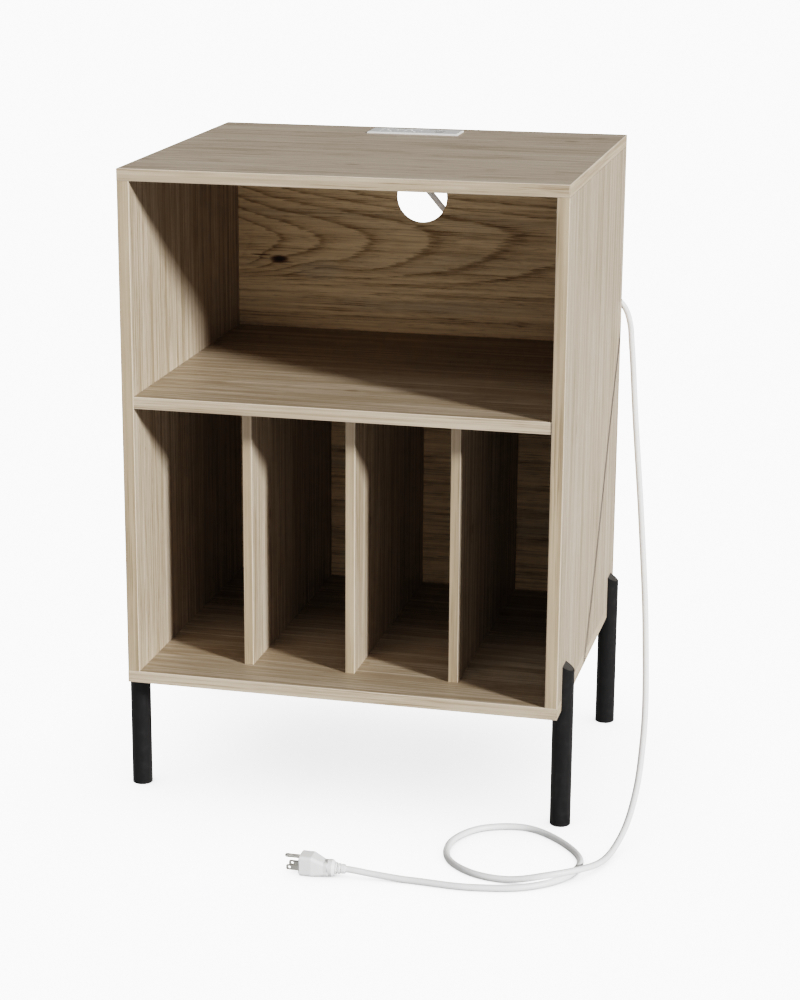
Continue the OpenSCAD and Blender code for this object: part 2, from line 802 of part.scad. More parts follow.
module side_screws() {
    color(steel) both_sides() at_side_screws() difference() {
        long_screw();
        socket_recess(4, 2.5);
    }
}

module divider_screws() {
    recess_r = 2;
    recess_w = 0.8;
    recess_h = 1.4 - eps;
    color(steel) at_divider_screws() difference() {
        slim_screw();
        for (turn = [0, 90]) rotate([0, 0, turn])
            span([-recess_r, -recess_w / 2, -eps], [recess_r, recess_w / 2, recess_h]);
    }
}

module back_nails() {
    color(steel) at_nails() nail();
}

// ---------- legs ----------

// everything above the plane that falls outwards from the leg's upper end
module above_cap(lower = 0) {
    translate([0, 0, leg_rise - lower]) rotate([0, cap_slope, 0])
        translate([-big / 2, -big / 2, 0]) cube(big);
}

// leg on the right side, from the tube's axis at the cabinet's underside: full tube below,
// outer half tube above, slanted closing plate, and the seat plate welded under the board
module leg() {
    tube_h = leg_h - foot_rim_t;
    difference() {
        translate([0, 0, -tube_h]) cylinder(d = tube_d, h = tube_h + leg_rise);
        difference() {
            translate([0, 0, -leg_h]) cylinder(d = bore_d, h = leg_h + leg_rise);
            above_cap(cap_t / cos(cap_slope));
        }
        above_cap();
        span([-big, -big, -seat_t / 2], [0, big, big]);
    }
    difference() {
        union() {
            translate([-seat_w, -seat_d / 2, -seat_t]) cube([seat_w, seat_d, seat_t]);
            translate([0, 0, -seat_t]) cylinder(d = tube_d - tube_wall, h = seat_t);
        }
        for (x = seat_hole_xs, y = seat_hole_ys)
            translate([x, y, -seat_t - eps]) cylinder(d = seat_hole_d, h = seat_t + 2 * eps);
    }
}

module placed_leg(side, front) {
    color([0.09, 0.09, 0.09]) scale([side, 1, 1]) at_leg(front) leg();
}

module leg_front_left() { placed_leg(-1, true); }
module leg_front_right() { placed_leg(1, true); }
module leg_rear_left() { placed_leg(-1, false); }
module leg_rear_right() { placed_leg(1, false); }

// plastic glide: a rim under the tube and a hollow stem inside it
module foot() {
    stem_d = bore_d - 2 * foot_play;
    translate([0, 0, -leg_h]) difference() {
        turned([[tube_d / 2 - 0.6, 0], [tube_d / 2, 0.6], [tube_d / 2, foot_rim_t], [stem_d / 2, foot_rim_t],
            [stem_d / 2, foot_rim_t + foot_stem_h]]);
        translate([0, 0, foot_rim_t]) cylinder(d = stem_d - 2 * foot_stem_wall, h = foot_stem_h + eps);
    }
}

module placed_foot(side, front) {
    color([0.12, 0.12, 0.12]) scale([side, 1, 1]) at_leg(front) foot();
}

module foot_front_left() { placed_foot(-1, true); }
module foot_front_right() { placed_foot(1, true); }
module foot_rear_left() { placed_foot(-1, false); }
module foot_rear_right() { placed_foot(1, false); }

module leg_screws() {
    color(steel) both_sides() at_leg_screws() pan_screw(leg_screw_d, leg_screw_l, leg_head_d, leg_head_t);
}

// ---------- power unit ----------

// everything in the unit is placed from its middle
module at_unit() {
    translate([0, unit_y, 0]) children();
}

module at_posts() {
    for (x = [-post_x, post_x], y = [-post_y, post_y]) translate([x, y, 0]) children();
}

module at_usb_ports() {
    for (y = [-usb_pitch / 2, usb_pitch / 2]) translate([usb_x, y, 0]) children();
}

module at_pcb_posts() {
    for (p = pcb_posts) translate([usb_x + p[0], p[1], 0]) children();
}

// bevelled plate: two bevelled bars crossed
module bevelled_plate() {
    module side_view(width) {
        w = width / 2;
        edge = face_t - face_bevel;
        polygon([[-w, 0], [w, 0], [w, edge], [w - face_bevel, face_t], [face_bevel - w, face_t], [-w, edge]]);
    }
    intersection() {
        translate([0, face_d / 2, lid_z]) rotate([90, 0, 0]) linear_extrude(face_d) side_view(face_w);
        translate([-face_w / 2, 0, lid_z]) rotate([90, 0, 90]) linear_extrude(face_w) side_view(face_d);
    }
}

// pilot hole for a screw that comes up from z
module unit_pilot(z) {
    translate([0, 0, z]) cylinder(d = unit_screw_d + 2 * thread_play, h = unit_screw_l + joint_play);
}

module power_face_plate() {
    w = inner_half_w - insert_play;
    d = inner_half_d - insert_play;
    post_foot_z = floor_z + housing_wall;
    pcb_top_z = pcb_z + pcb_t;
    color(white_plastic) at_unit() difference() {
        union() {
            bevelled_plate();
            difference() {
                span([-w, -d, lid_z - face_lip_h], [w, d, lid_z]);
                span([face_lip_t - w, face_lip_t - d, lid_z - face_lip_h - eps],
                    [w - face_lip_t, d - face_lip_t, lid_z]);
            }
            at_posts() translate([0, 0, post_foot_z]) cylinder(d = post_d, h = lid_z - post_foot_z);
            at_pcb_posts() translate([0, 0, pcb_top_z]) cylinder(d = post_d, h = lid_z - pcb_top_z);
        }
        for (x = socket_xs) translate([x, 0, 0]) {
            half_w = socket_w / 2 + insert_play;
            half_d = socket_d / 2 + insert_play;
            s = socket_shoulder;
            span([-half_w, -half_d, lid_z - eps], [half_w, half_d, face_z + eps]);
            span([-half_w - s, -half_d - s, lid_z - face_lip_h - eps], [half_w + s, half_d + s, lid_z]);
        }
        at_usb_ports() span([-usb_w / 2 - insert_play, -usb_d / 2 - insert_play, lid_z - eps],
            [usb_w / 2 + insert_play, usb_d / 2 + insert_play, face_z + eps]);
        at_posts() unit_pilot(floor_z);
        at_pcb_posts() unit_pilot(pcb_z);
    }
}

// open box under the cut-out, with two cross ribs that carry the contact carrier
module power_housing() {
    rib_t = 1.6;
    wire_gap = 8;
    rib_xs = [socket_xs[0] - carrier_end, socket_xs[1] + carrier_end - rib_t];
    color(white_plastic) at_unit() difference() {
        union() {
            difference() {
                span([-housing_w / 2, -housing_d / 2, floor_z], [housing_w / 2, housing_d / 2, lid_z]);
                span([-inner_half_w, -inner_half_d, floor_z + housing_wall],
                    [inner_half_w, inner_half_d, lid_z + eps]);
            }
            for (x = rib_xs, side = [-1, 1]) scale([1, side, 1])
                span([x, wire_gap, floor_z + housing_wall - eps], [x + rib_t, inner_half_d + eps, carrier_z]);
        }
        at_posts() translate([0, 0, floor_z - eps])
            cylinder(d = unit_screw_d + 2 * unit_screw_play, h = housing_wall + 2 * eps);
        translate([gland_x, 0, gland_z]) rotate([-90, 0, 0])
            cylinder(d = gland_d + 2 * joint_play, h = housing_d);
        for (side = [-1, 1], z = clamp_screw_zs) translate([side * housing_w / 2, 0, z]) rotate([0, 90, 0])
            cylinder(d = unit_screw_d + 2 * thread_play, h = 4 * housing_wall, center = true);
    }
}

// one mains socket: its face in the plate, a shoulder under the plate, and through slots
module socket_insert() {
    w = socket_w / 2;
    d = socket_d / 2;
    s = socket_shoulder;
    difference() {
        union() {
            span([-w, -d, socket_base_z], [w, d, socket_face_z]);
            span([-w - s, -d - s, lid_z - shoulder_t], [w + s, d + s, lid_z]);
        }
        translate([0, blade_shift, socket_base_z - eps]) {
            span([line_x - slot_gap / 2, -line_slot_l / 2, 0], [line_x + slot_gap / 2, line_slot_l / 2, big]);
            span([-line_x - slot_gap / 2, -neutral_slot_l / 2, 0],
                [-line_x + slot_gap / 2, neutral_slot_l / 2, big]);
            translate([0, -ground_drop, 0]) cylinder(d = ground_hole_d, h = big);
        }
    }
}

module socket_insert_left() {
    color(white_plastic) at_unit() translate([socket_xs[0], 0, 0]) socket_insert();
}

module socket_insert_right() {
    color(white_plastic) at_unit() translate([socket_xs[1], 0, 0]) socket_insert();
}

// block under the sockets, with a through pocket for each contact
module contact_carrier() {
    pocket_x = clip_leaf_x + contact_play;
    pocket_y = clip_w / 2 + contact_play;
    color([0.85, 0.85, 0.83]) at_unit() difference() {
        span([socket_xs[0] - carrier_end, -carrier_half_d, carrier_z],
            [socket_xs[1] + carrier_end, carrier_half_d, socket_base_z]);
        for (x = socket_xs) translate([x, blade_shift, carrier_z - eps]) {
            for (side = [-1, 1]) translate([side * line_x, 0, 0])
                span([-pocket_x, -pocket_y, 0], [pocket_x, pocket_y, carrier_h + 2 * eps]);
            translate([0, -ground_drop, 0])
                cylinder(r = ground_tube_r + contact_play, h = carrier_h + 2 * eps);
        }
    }
}

// spring clip for a blade: two leaves on a base that lies under the carrier
module clip() {
    base_z = carrier_z - brass_t;
    both_sides() span([clip_gap / 2, -clip_w / 2, base_z], [clip_leaf_x, clip_w / 2, carrier_z + clip_h]);
    span([-clip_leaf_x, -clip_w / 2, base_z], [clip_leaf_x, clip_w / 2, carrier_z]);
}

// bar under the carrier that joins the two clips of one pole, off the clips by the gap,
// behind them where side is 1 and before them where it is -1
module contact_bar(x_shift, side, gap) {
    clip_edge = clip_w / 2 - 0.2;
    near = clip_w / 2 + gap;
    color(brass) at_unit() translate([x_shift, blade_shift, 0]) scale([1, side, 1]) {
        for (x = socket_xs) translate([x, 0, 0]) {
            clip();
            span([-clip_leaf_x, clip_edge, carrier_z - brass_t], [clip_leaf_x, near + eps, carrier_z]);
        }
        span([socket_xs[0] - clip_leaf_x, near, carrier_z - brass_t],
            [socket_xs[1] + clip_leaf_x, near + bar_w, carrier_z]);
    }
}

module line_contact_bar() {
    contact_bar(line_x, 1, line_bar_gap);
}

module neutral_contact_bar() {
    contact_bar(-line_x, -1, neutral_bar_gap);
}

// two slit tubes that grip the ground pins, on one flat bar below the other two
module ground_contact_bar() {
    slit = 1;
    tube_h = clip_h + carrier_z - ground_bar_z;
    color(brass) at_unit() translate([0, blade_shift - ground_drop, 0]) {
        for (x = socket_xs) translate([x, 0, 0]) difference() {
            translate([0, 0, ground_bar_z]) cylinder(r = ground_tube_r, h = tube_h);
            translate([0, 0, ground_bar_z + brass_t]) cylinder(d = ground_hole_d - 0.6, h = big);
            translate([-slit / 2, -big / 2, carrier_z + 2]) cube([slit, big, big]);
        }
        span([socket_xs[0] - ground_tube_r, -ground_tube_r, ground_bar_z],
            [socket_xs[1] + ground_tube_r, 0, ground_bar_z + brass_t]);
    }
}

module usb_circuit_board() {
    color([0.1, 0.35, 0.18]) at_unit() difference() {
        translate([usb_x, 0, pcb_z])
            span([-pcb_half_w, -pcb_half_d, 0], [pcb_half_w, pcb_half_d, pcb_t]);
        at_pcb_posts() translate([0, 0, pcb_z - eps])
            cylinder(d = unit_screw_d + 2 * unit_screw_play, h = pcb_t + 2 * eps);
    }
}

module usb_port_shells() {
    color(steel) at_unit() at_usb_ports() difference() {
        span([-usb_w / 2, -usb_d / 2, pcb_z + pcb_t], [usb_w / 2, usb_d / 2, socket_face_z]);
        span([-usb_w / 2 + usb_wall, -usb_d / 2 + usb_wall, pcb_z + pcb_t - eps],
            [usb_w / 2 - usb_wall, usb_d / 2 - usb_wall, socket_face_z + eps]);
    }
}

// plastic blocks in the shells, each with the tongue that carries the contacts
module usb_tongues() {
    play = 0.05;
    w = usb_w / 2 - usb_wall - play;
    d = usb_d / 2 - usb_wall - play;
    color([0.92, 0.92, 0.9]) at_unit() at_usb_ports() {
        span([-w, -d, pcb_z + pcb_t], [w, d, pcb_z + pcb_t + 3]);
        span([0.6 - w, d - usb_tongue_t - 0.4, pcb_z + pcb_t], [w - 0.6, d - 0.4, socket_face_z - 1.2]);
    }
}

module usb_board_screws() {
    color(steel) at_unit() at_pcb_posts() translate([0, 0, pcb_z])
        pan_screw(unit_screw_d, unit_screw_l, unit_head_d, unit_head_t);
}

module housing_screws() {
    color(steel) at_unit() at_posts() translate([0, 0, floor_z])
        pan_screw(unit_screw_d, unit_screw_l, unit_head_d, unit_head_t);
}

// steel angles screwed to the housing's ends, which hold the unit against the top board
module mounting_clamps() {
    color(steel) at_unit() both_sides() translate([housing_w / 2, 0, 0]) difference() {
        union() {
            span([0, -clamp_w / 2, top_z - clamp_h], [clamp_t, clamp_w / 2, top_z]);
            span([0, -clamp_w / 2, top_z - clamp_t], [clamp_foot, clamp_w / 2, top_z]);
        }
        for (z = clamp_screw_zs) translate([0, 0, z]) rotate([0, 90, 0])
            cylinder(d = unit_screw_d + 2 * unit_screw_play, h = 3 * clamp_t, center = true);
    }
}

module clamp_screws() {
    color(steel) at_unit() both_sides() for (z = clamp_screw_zs)
        translate([housing_w / 2 + clamp_t, 0, z]) rotate([0, -90, 0])
            pan_screw(unit_screw_d, unit_screw_l, unit_head_d, unit_head_t);
}

// ---------- cord ----------

// smooth curve through a list of points: the slope at each point weighs its two neighbours
function chord(p, i) = norm(p[i + 1] - p[i]);
function slope(p, i) = (p[i + 1] - p[i]) / chord(p, i);
function tangent(p, i) =
    i == 0 ? slope(p, 0)
    : i == len(p) - 1 ? slope(p, i - 1)
    : (slope(p, i - 1) * chord(p, i) + slope(p, i) * chord(p, i - 1)) / (chord(p, i) + chord(p, i - 1));
function along(p, i, t) =
    (2 * t * t * t - 3 * t * t + 1) * p[i] + (3 * t * t - 2 * t * t * t) * p[i + 1]
    + chord(p, i) * ((t * t * t - 2 * t * t + t) * tangent(p, i) + (t * t * t - t * t) * tangent(p, i + 1));
function curve(p, step) = concat(
    [for (i = [0:len(p) - 2]) let (n = ceil(chord(p, i) / step)) for (k = [0:n - 1]) along(p, i, k / n)],
    [p[len(p) - 1]]);
function unit(v) = v / norm(v);
function heading(p, i) = unit(p[min(i + 1, len(p) - 1)] - p[max(i - 1, 0)]);
function square_to(v, axis) = unit(v - (v * axis) * axis);
// a direction across the curve at each point, carried along it without twist
function across(p, first) = [for (i = 0, v = square_to(first, heading(p, 0)); i < len(p);
    i = i + 1, v = square_to(v, heading(p, min(i, len(p) - 1)))) v];

// round tube of the given sides along a list of points
module tube_along(p, d, sides, first) {
    side_dirs = across(p, first);
    points = [for (i = [0:len(p) - 1]) let (a = side_dirs[i], b = cross(heading(p, i), a))
        for (k = [0:sides - 1]) p[i] + d / 2 * (cos(360 * k / sides) * a + sin(360 * k / sides) * b)];
    last = len(p) - 1;
    walls = [for (i = [0:last - 1], k = [0:sides - 1]) let (n = (k + 1) % sides)
        [i * sides + k, (i + 1) * sides + k, (i + 1) * sides + n, i * sides + n]];
    polyhedron(points, concat(walls, [[for (k = [0:sides - 1]) k]],
        [[for (k = [sides - 1:-1:0]) last * sides + k]]));
}

// the cord's centreline, which never dips below its own radius on the floor
cord_line = [for (p = curve(cord_route, cord_ring_step)) [p[0], p[1], max(p[2], cord_d / 2)]];

module power_cord() {
    color([0.95, 0.95, 0.94]) tube_along(cord_line, cord_d, cord_sides, [0, 0, 1]);
}

// gland: an inner sleeve through the housing wall, a collar outside and a tapered boot
module cord_gland() {
    end = gland_collar_t + gland_boot_l;
    color(white_plastic) translate([gland_x, gland_y, gland_z]) rotate([-90, 0, 0]) difference() {
        turned([[gland_d / 2, -gland_inner_l], [gland_d / 2, 0], [gland_collar_d / 2, 0],
            [gland_collar_d / 2, gland_collar_t], [gland_d / 2 + 0.6, gland_collar_t],
            [gland_d / 2 - 0.6, end]]);
        translate([0, 0, -gland_inner_l - eps]) cylinder(d = cord_bore_d, h = gland_inner_l + end + 2 * eps);
    }
}

// clip: a foot stuck on the back board and an open ring, which the cord is pressed into
module cord_clip() {
    ring_r = cord_d / 2 + cord_clip_play + cord_clip_wall;
    foot_r = cord_clip_foot / 2;
    color(white_plastic) translate(cord_clip_place + [0, ring_r, 0]) rotate([0, cord_clip_fall, 0])
        difference() {
            union() {
                span([-foot_r, -ring_r, -foot_r], [foot_r, cord_clip_wall - ring_r, foot_r]);
                rotate([0, 90, 0]) cylinder(r = ring_r, h = cord_clip_l, center = true);
            }
            rotate([0, 90, 0]) cylinder(r = ring_r - cord_clip_wall, h = big, center = true);
            span([-big, 0, -cord_clip_mouth / 2], [big, big, cord_clip_mouth / 2]);
        }
}

// line, neutral and ground cores, from the end of the cord up to their bars
module core_wires() {
    start = cord_route[0] - [0, core_gap, 0];
    spread = core_d + 0.4;
    tail = 3;   // length of a core beside its bar
    bar_z = carrier_z - brass_t;
    blades_y = unit_y + blade_shift;
    ends = [[socket_xs[0] + line_x, blades_y + clip_w / 2 + line_bar_gap + bar_w / 2, bar_z],
        [socket_xs[0] - line_x + 2 * tail, blades_y - clip_w / 2 - neutral_bar_gap - bar_w / 2, bar_z],
        [socket_xs[0] + tail, blades_y - ground_drop - ground_tube_r / 2, ground_bar_z]];
    for (k = [0:2]) let (a = start + [(k - 1) * spread, 0, 0], e = ends[k] - [0, 0, core_d / 2 + 0.1])
        color(["black", "white", "green"][k])
            tube_along(curve([a, a - [0, tail, 0], (a + e) / 2 - [0, 2, 0], e - [1.5, 0, 4],
                e + [tail, 0, 0]], 5), core_d, 8, [1, 0, 0]);
}

// ---------- plug ----------

// the four rounded corners of the plug's outline at x, to be hulled
module plug_corners(x, w, z, h) {
    r = plug_corner_r;
    for (y = [r - w / 2, w / 2 - r], u = [r, h - r])
        translate([x, y, z + u]) rotate([0, 90, 0]) cylinder(r = r, h = 0.02, $fn = facets);
}

module plug_body() {
    relief_x = plug_collar_x + plug_collar_l;
    relief_r = plug_relief_d / 2;
    rib = plug_relief_l / 6;   // width of the relief's ribs and of the grooves between them
    groove = 1.6;
    color(white_plastic) translate([plug_x, plug_y, 0]) difference() {
        union() {
            hull() {
                plug_corners(0, plug_head_w - 2, 1, plug_head_h - 2);
                plug_corners(1.2, plug_head_w, 0, plug_head_h);
                plug_corners(plug_head_l, plug_head_w, 0, plug_head_h);
            }
            hull() {
                plug_corners(plug_head_l, plug_head_w, 0, plug_head_h);
                plug_corners(plug_neck_x, plug_neck_w, plug_neck_z, plug_neck_h);
            }
            hull() {
                plug_corners(plug_neck_x, plug_neck_w, plug_neck_z, plug_neck_h);
                plug_corners(plug_collar_x + 1, plug_neck_w, plug_neck_z, plug_neck_h);
            }
            translate([0, 0, plug_cord_z]) rotate([0, 90, 0]) turned([
                [plug_collar_d / 2 - 1, plug_collar_x], [plug_collar_d / 2, plug_collar_x + 1],
                [plug_collar_d / 2, relief_x - 1.5 * rib], [relief_r, relief_x],
                [relief_r, relief_x + rib], [relief_r - groove, relief_x + rib],
                [relief_r - groove, relief_x + 2 * rib], [relief_r - groove / 2, relief_x + 2 * rib],
                [relief_r - groove / 2, relief_x + 3 * rib], [relief_r - 1.25 * groove, relief_x + 3 * rib],
                [relief_r - 1.25 * groove, relief_x + 4 * rib], [relief_r - 0.8 * groove, relief_x + 4 * rib],
                [plug_tip_d / 2, relief_x + plug_relief_l]]);
        }
        translate([cord_route[len(cord_route) - 1][0] - 1, 0, plug_cord_z]) rotate([0, 90, 0])
            cylinder(d = cord_bore_d, h = big);
        for (side = [-1, 1]) translate([0, side * blade_pitch / 2, plug_blade_z])
            span([-eps, -blade_t / 2 - thread_play, -blade_w / 2 - thread_play],
                [blade_root + joint_play, blade_t / 2 + thread_play, blade_w / 2 + thread_play]);
        translate([-eps, 0, plug_pin_z]) rotate([0, 90, 0])
            cylinder(d = ground_pin_d + 2 * thread_play, h = blade_root + joint_play);
    }
}

module plug_blades() {
    chamfer = 1.2;
    hole_d = 3.2;
    hole_inset = 4;
    h = blade_w / 2;
    color(steel) for (side = [-1, 1]) translate([plug_x, plug_y + side * blade_pitch / 2, plug_blade_z])
        rotate([90, 0, 0]) linear_extrude(blade_t, center = true) difference() {
            polygon([[blade_root, -h], [blade_root, h], [-blade_l + chamfer, h], [-blade_l, h - chamfer],
                [-blade_l, -h + chamfer], [-blade_l + chamfer, -h]]);
            translate([hole_inset - blade_l, 0]) circle(d = hole_d, $fn = 24);
        }
}

module plug_ground_pin() {
    r = ground_pin_d / 2;
    color(steel) translate([plug_x, plug_y, plug_pin_z]) rotate([0, 90, 0])
        turned([[r - 1.6, -ground_pin_l], [r - 0.5, -ground_pin_l + 0.6], [r, -ground_pin_l + 2],
            [r, blade_root]]);
}

top_board();
bottom_board();
side_board_left();
side_board_right();
middle_shelf();
translate([-divider_pitch, 0, 0]) divider();  // divider_left
divider();  // divider_centre
translate([divider_pitch, 0, 0]) divider();  // divider_right
back_board();
top_edge_bands();
bottom_edge_bands();
side_edge_bands();
shelf_edge_band();
divider_edge_bands();
cam_locks();
cam_bolts();
cam_covers();
dowels();
divider_pegs();
side_screws();
divider_screws();
back_nails();
leg_front_left();
leg_front_right();
leg_rear_left();
leg_rear_right();
foot_front_left();
foot_front_right();
foot_rear_left();
foot_rear_right();
leg_screws();
power_face_plate();
power_housing();
socket_insert_left();
socket_insert_right();
contact_carrier();
line_contact_bar();
neutral_contact_bar();
ground_contact_bar();
usb_circuit_board();
usb_port_shells();
usb_tongues();
usb_board_screws();
housing_screws();
mounting_clamps();
clamp_screws();
core_wires();
cord_gland();
cord_clip();
power_cord();
plug_body();
plug_blades();
plug_ground_pin();
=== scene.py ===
import math

import bpy
from mathutils import Matrix, Vector


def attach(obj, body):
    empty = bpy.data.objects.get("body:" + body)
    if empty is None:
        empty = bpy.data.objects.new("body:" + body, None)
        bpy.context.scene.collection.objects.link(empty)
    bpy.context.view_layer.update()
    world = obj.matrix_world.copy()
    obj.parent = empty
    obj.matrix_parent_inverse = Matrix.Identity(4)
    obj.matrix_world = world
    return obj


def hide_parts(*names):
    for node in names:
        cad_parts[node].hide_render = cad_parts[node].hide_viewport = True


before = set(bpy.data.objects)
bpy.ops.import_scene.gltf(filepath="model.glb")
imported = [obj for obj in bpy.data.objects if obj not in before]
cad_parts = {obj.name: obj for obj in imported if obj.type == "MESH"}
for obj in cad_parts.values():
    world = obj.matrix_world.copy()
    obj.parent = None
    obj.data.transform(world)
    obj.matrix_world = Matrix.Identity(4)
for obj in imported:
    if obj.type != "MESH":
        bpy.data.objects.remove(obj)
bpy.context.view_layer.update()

# ---- Camera ----
# The photograph's camera. It stands 2.7 m in front of the cabinet, to its right and 0.4 m above
# its top. The picture was cropped off centre, which the shift repeats.
photo_size_px = (800, 1000)
camera_centre_px = (319.82, 504.20)
camera_focal_px = 2457.73
camera_place = (0.70682, -2.95664, 1.20523)
camera_yaw = 0.2608
camera_pitch = -0.2777
camera_roll = 0.0019
sensor_mm = 36

camera_data = bpy.data.cameras.new("camera")
camera_data.sensor_fit = "VERTICAL"
camera_data.sensor_height = sensor_mm
camera_data.lens = camera_focal_px / photo_size_px[1] * sensor_mm
camera_data.shift_x = (photo_size_px[0] / 2 - camera_centre_px[0]) / photo_size_px[1]
camera_data.shift_y = (camera_centre_px[1] - photo_size_px[1] / 2) / photo_size_px[1]
camera = bpy.data.objects.new("camera", camera_data)
camera.matrix_world = (
    Matrix.Translation(camera_place)
    @ Matrix.Rotation(camera_yaw, 4, "Z")
    @ Matrix.Rotation(camera_pitch, 4, "X")
    @ Matrix.Rotation(camera_roll, 4, "Y")
    @ Matrix.Rotation(math.pi / 2, 4, "X")
)
bpy.context.collection.objects.link(camera)
bpy.context.scene.camera = camera

# ---- Mains cord ----
# White PVC mains lead, 8 mm thick and 2 m long. It leaves the gland under the top, goes through
# the cable hole to its clip, round the rear corner, down to the floor and in one loop to the plug.
MM = 0.001
cord_diameter = 8 * MM
cord_exit = (-14 * MM, 209 * MM, 729 * MM)
cord_step = 8 * MM
cord_route_mm = [
    (-14, 190, 729), (-14, 209, 729), (-12, 222, 727), (-7.5, 232.5, 721.5), (0, 240, 713),
    (9, 242.5, 702.5), (27, 243, 682), (62, 242, 658), (120, 239.5, 630), (180, 234, 607),
    (234, 230.4, 595.4), (247, 230.4, 588), (262, 231, 577.5), (274.8, 228.3, 564),
    (283, 218, 546), (288, 201, 525), (304.8, 134, 443.5), (329.6, 43, 320), (350.8, -49, 207),
    (363.3, -140, 102), (362.5, -186, 54), (356.5, -225, 24), (349, -255, 10.5), (339, -294, 7),
    (316, -337, 12), (287, -359, 12), (243, -367, 5), (200, -360, 4), (162, -327, 4),
    (154, -277, 4), (180, -229, 4), (232, -212, 4), (284, -245, 4), (314, -297, 4),
    (303, -344, 4), (265, -380, 4), (205, -397, 4), (125, -396, 4), (80, -397, 7.5),
    (58, -398, 10), (44, -398, 10),
]


class Value:
    """A socket in a tree of nodes. Arithmetic on it adds the Math nodes that work it out."""

    def __init__(self, owner, socket):
        self.owner = owner
        self.socket = socket

    def math(self, operation, *others):
        return self.owner.node("ShaderNodeMath", {"operation": operation}, [self, *others])

    def __add__(self, other):
        return self.math("ADD", other)

    def __sub__(self, other):
        return self.math("SUBTRACT", other)

    def __rsub__(self, other):
        return self.owner.node("ShaderNodeMath", {"operation": "SUBTRACT"}, [other, self])

    def __mul__(self, other):
        return self.math("MULTIPLY", other)

    __radd__ = __add__
    __rmul__ = __mul__

    def step(self, low, high):
        """0 up to low, 1 from high, and smooth between them."""
        values = {"Value": self, "From Min": low, "From Max": high}
        return self.owner.node("ShaderNodeMapRange", {"interpolation_type": "SMOOTHSTEP"}, values)


class Nodes:
    """The node tree of a material or of the world."""

    def __init__(self, tree):
        self.tree = tree

    def node(self, kind, settings=None, inputs=(), output=0):
        """A new node: its settings first, then the values or links of its sockets."""
        made = self.tree.nodes.new(kind)
        for name, value in (settings or {}).items():
            if name == "stops":
                ramp = made.color_ramp.elements
                ramp[0].color = value[0][1]
                ramp[1].color = value[-1][1]
                for position, colour in value[1:-1]:
                    ramp.new(position).color = colour
            else:
                setattr(made, name, value)
        named = inputs.items() if isinstance(inputs, dict) else enumerate(inputs)
        for name, value in named:
            if isinstance(value, Value):
                self.tree.links.new(value.socket, made.inputs[name])
            else:
                made.inputs[name].default_value = value
        return Value(self, made.outputs[output])

    def show(self, shader, output):
        """Links a shader to the output node with the given name."""
        self.tree.links.new(shader.socket, self.tree.nodes[output].inputs["Surface"])


class Finish(Nodes):
    """A material. Its plain values are set on the shader itself."""

    def __init__(self, name, plain):
        self.material = bpy.data.materials.new(name)
        self.material.use_nodes = True
        super().__init__(self.material.node_tree)
        self.shader = self.tree.nodes["Principled BSDF"]
        for socket, value in plain.items():
            self.shader.inputs[socket].default_value = value
        self.place = self.node("ShaderNodeTexCoord", output="Object")

    def split(self, vector):
        parts = self.node("ShaderNodeSeparateXYZ", None, [vector]).socket.node.outputs
        return [Value(self, part) for part in parts]

    def join(self, x, y, z):
        return self.node("ShaderNodeCombineXYZ", None, [x, y, z])

    def noise(self, place, scale, detail=2, roughness=0.5):
        """Noise from 0 to 1 around 0.5. The scale is in waves per metre, or one for each axis."""
        if isinstance(scale, tuple):
            place = self.node("ShaderNodeVectorMath", {"operation": "MULTIPLY"}, [place, scale])
            scale = 1
        values = {"Vector": place, "Scale": scale, "Detail": detail, "Roughness": roughness}
        return self.node("ShaderNodeTexNoise", None, values)

    def blend(self, share, low, high):
        """A colour between low and high."""
        colours = {0: share, 6: low, 7: high}
        return self.node("ShaderNodeMix", {"data_type": "RGBA"}, colours, output=2)

    def drive(self, **sockets):
        """Links values to the shader's sockets. A bump is given as its height and its depth."""
        for name, value in sockets.items():
            if name == "bump":
                height, depth = value
                value = self.node("ShaderNodeBump", None, {"Height": height, "Distance": depth})
                name = "Normal"
            self.tree.links.new(value.socket, self.shader.inputs[name.replace("_", " ")])

    def wear(self, *wearers):
        """Dresses CAD nodes, given by name, or pieces in this finish."""
        for item in wearers:
            mesh = (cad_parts[item] if isinstance(item, str) else item).data
            mesh.materials.clear()
            mesh.materials.append(self.material)


def toned(colour, tone):
    """A colour whose red, green and blue are multiplied by those of the tone."""
    return [channel * share for channel, share in zip(colour, tone)] + [1]


def soft_plastic(name, colour, roughness, grain, depth):
    """Moulded plastic: one colour, with a fine grain that breaks up its gloss.

    The grain is in waves per metre, and depth is how deep it goes.
    """
    clouded = 0.965
    gloss_spread = 0.18
    plastic = Finish(name, {"Roughness": roughness})
    texture = plastic.noise(plastic.place, grain, detail=3, roughness=0.6)
    clear = plastic.noise(plastic.place, 60).step(0.3, 0.7)
    plastic.drive(
        Base_Color=plastic.blend(clear, toned(colour, [clouded] * 3), colour),
        Roughness=roughness + (texture - 0.5) * gloss_spread,
        bump=(texture, depth),
    )
    return plastic


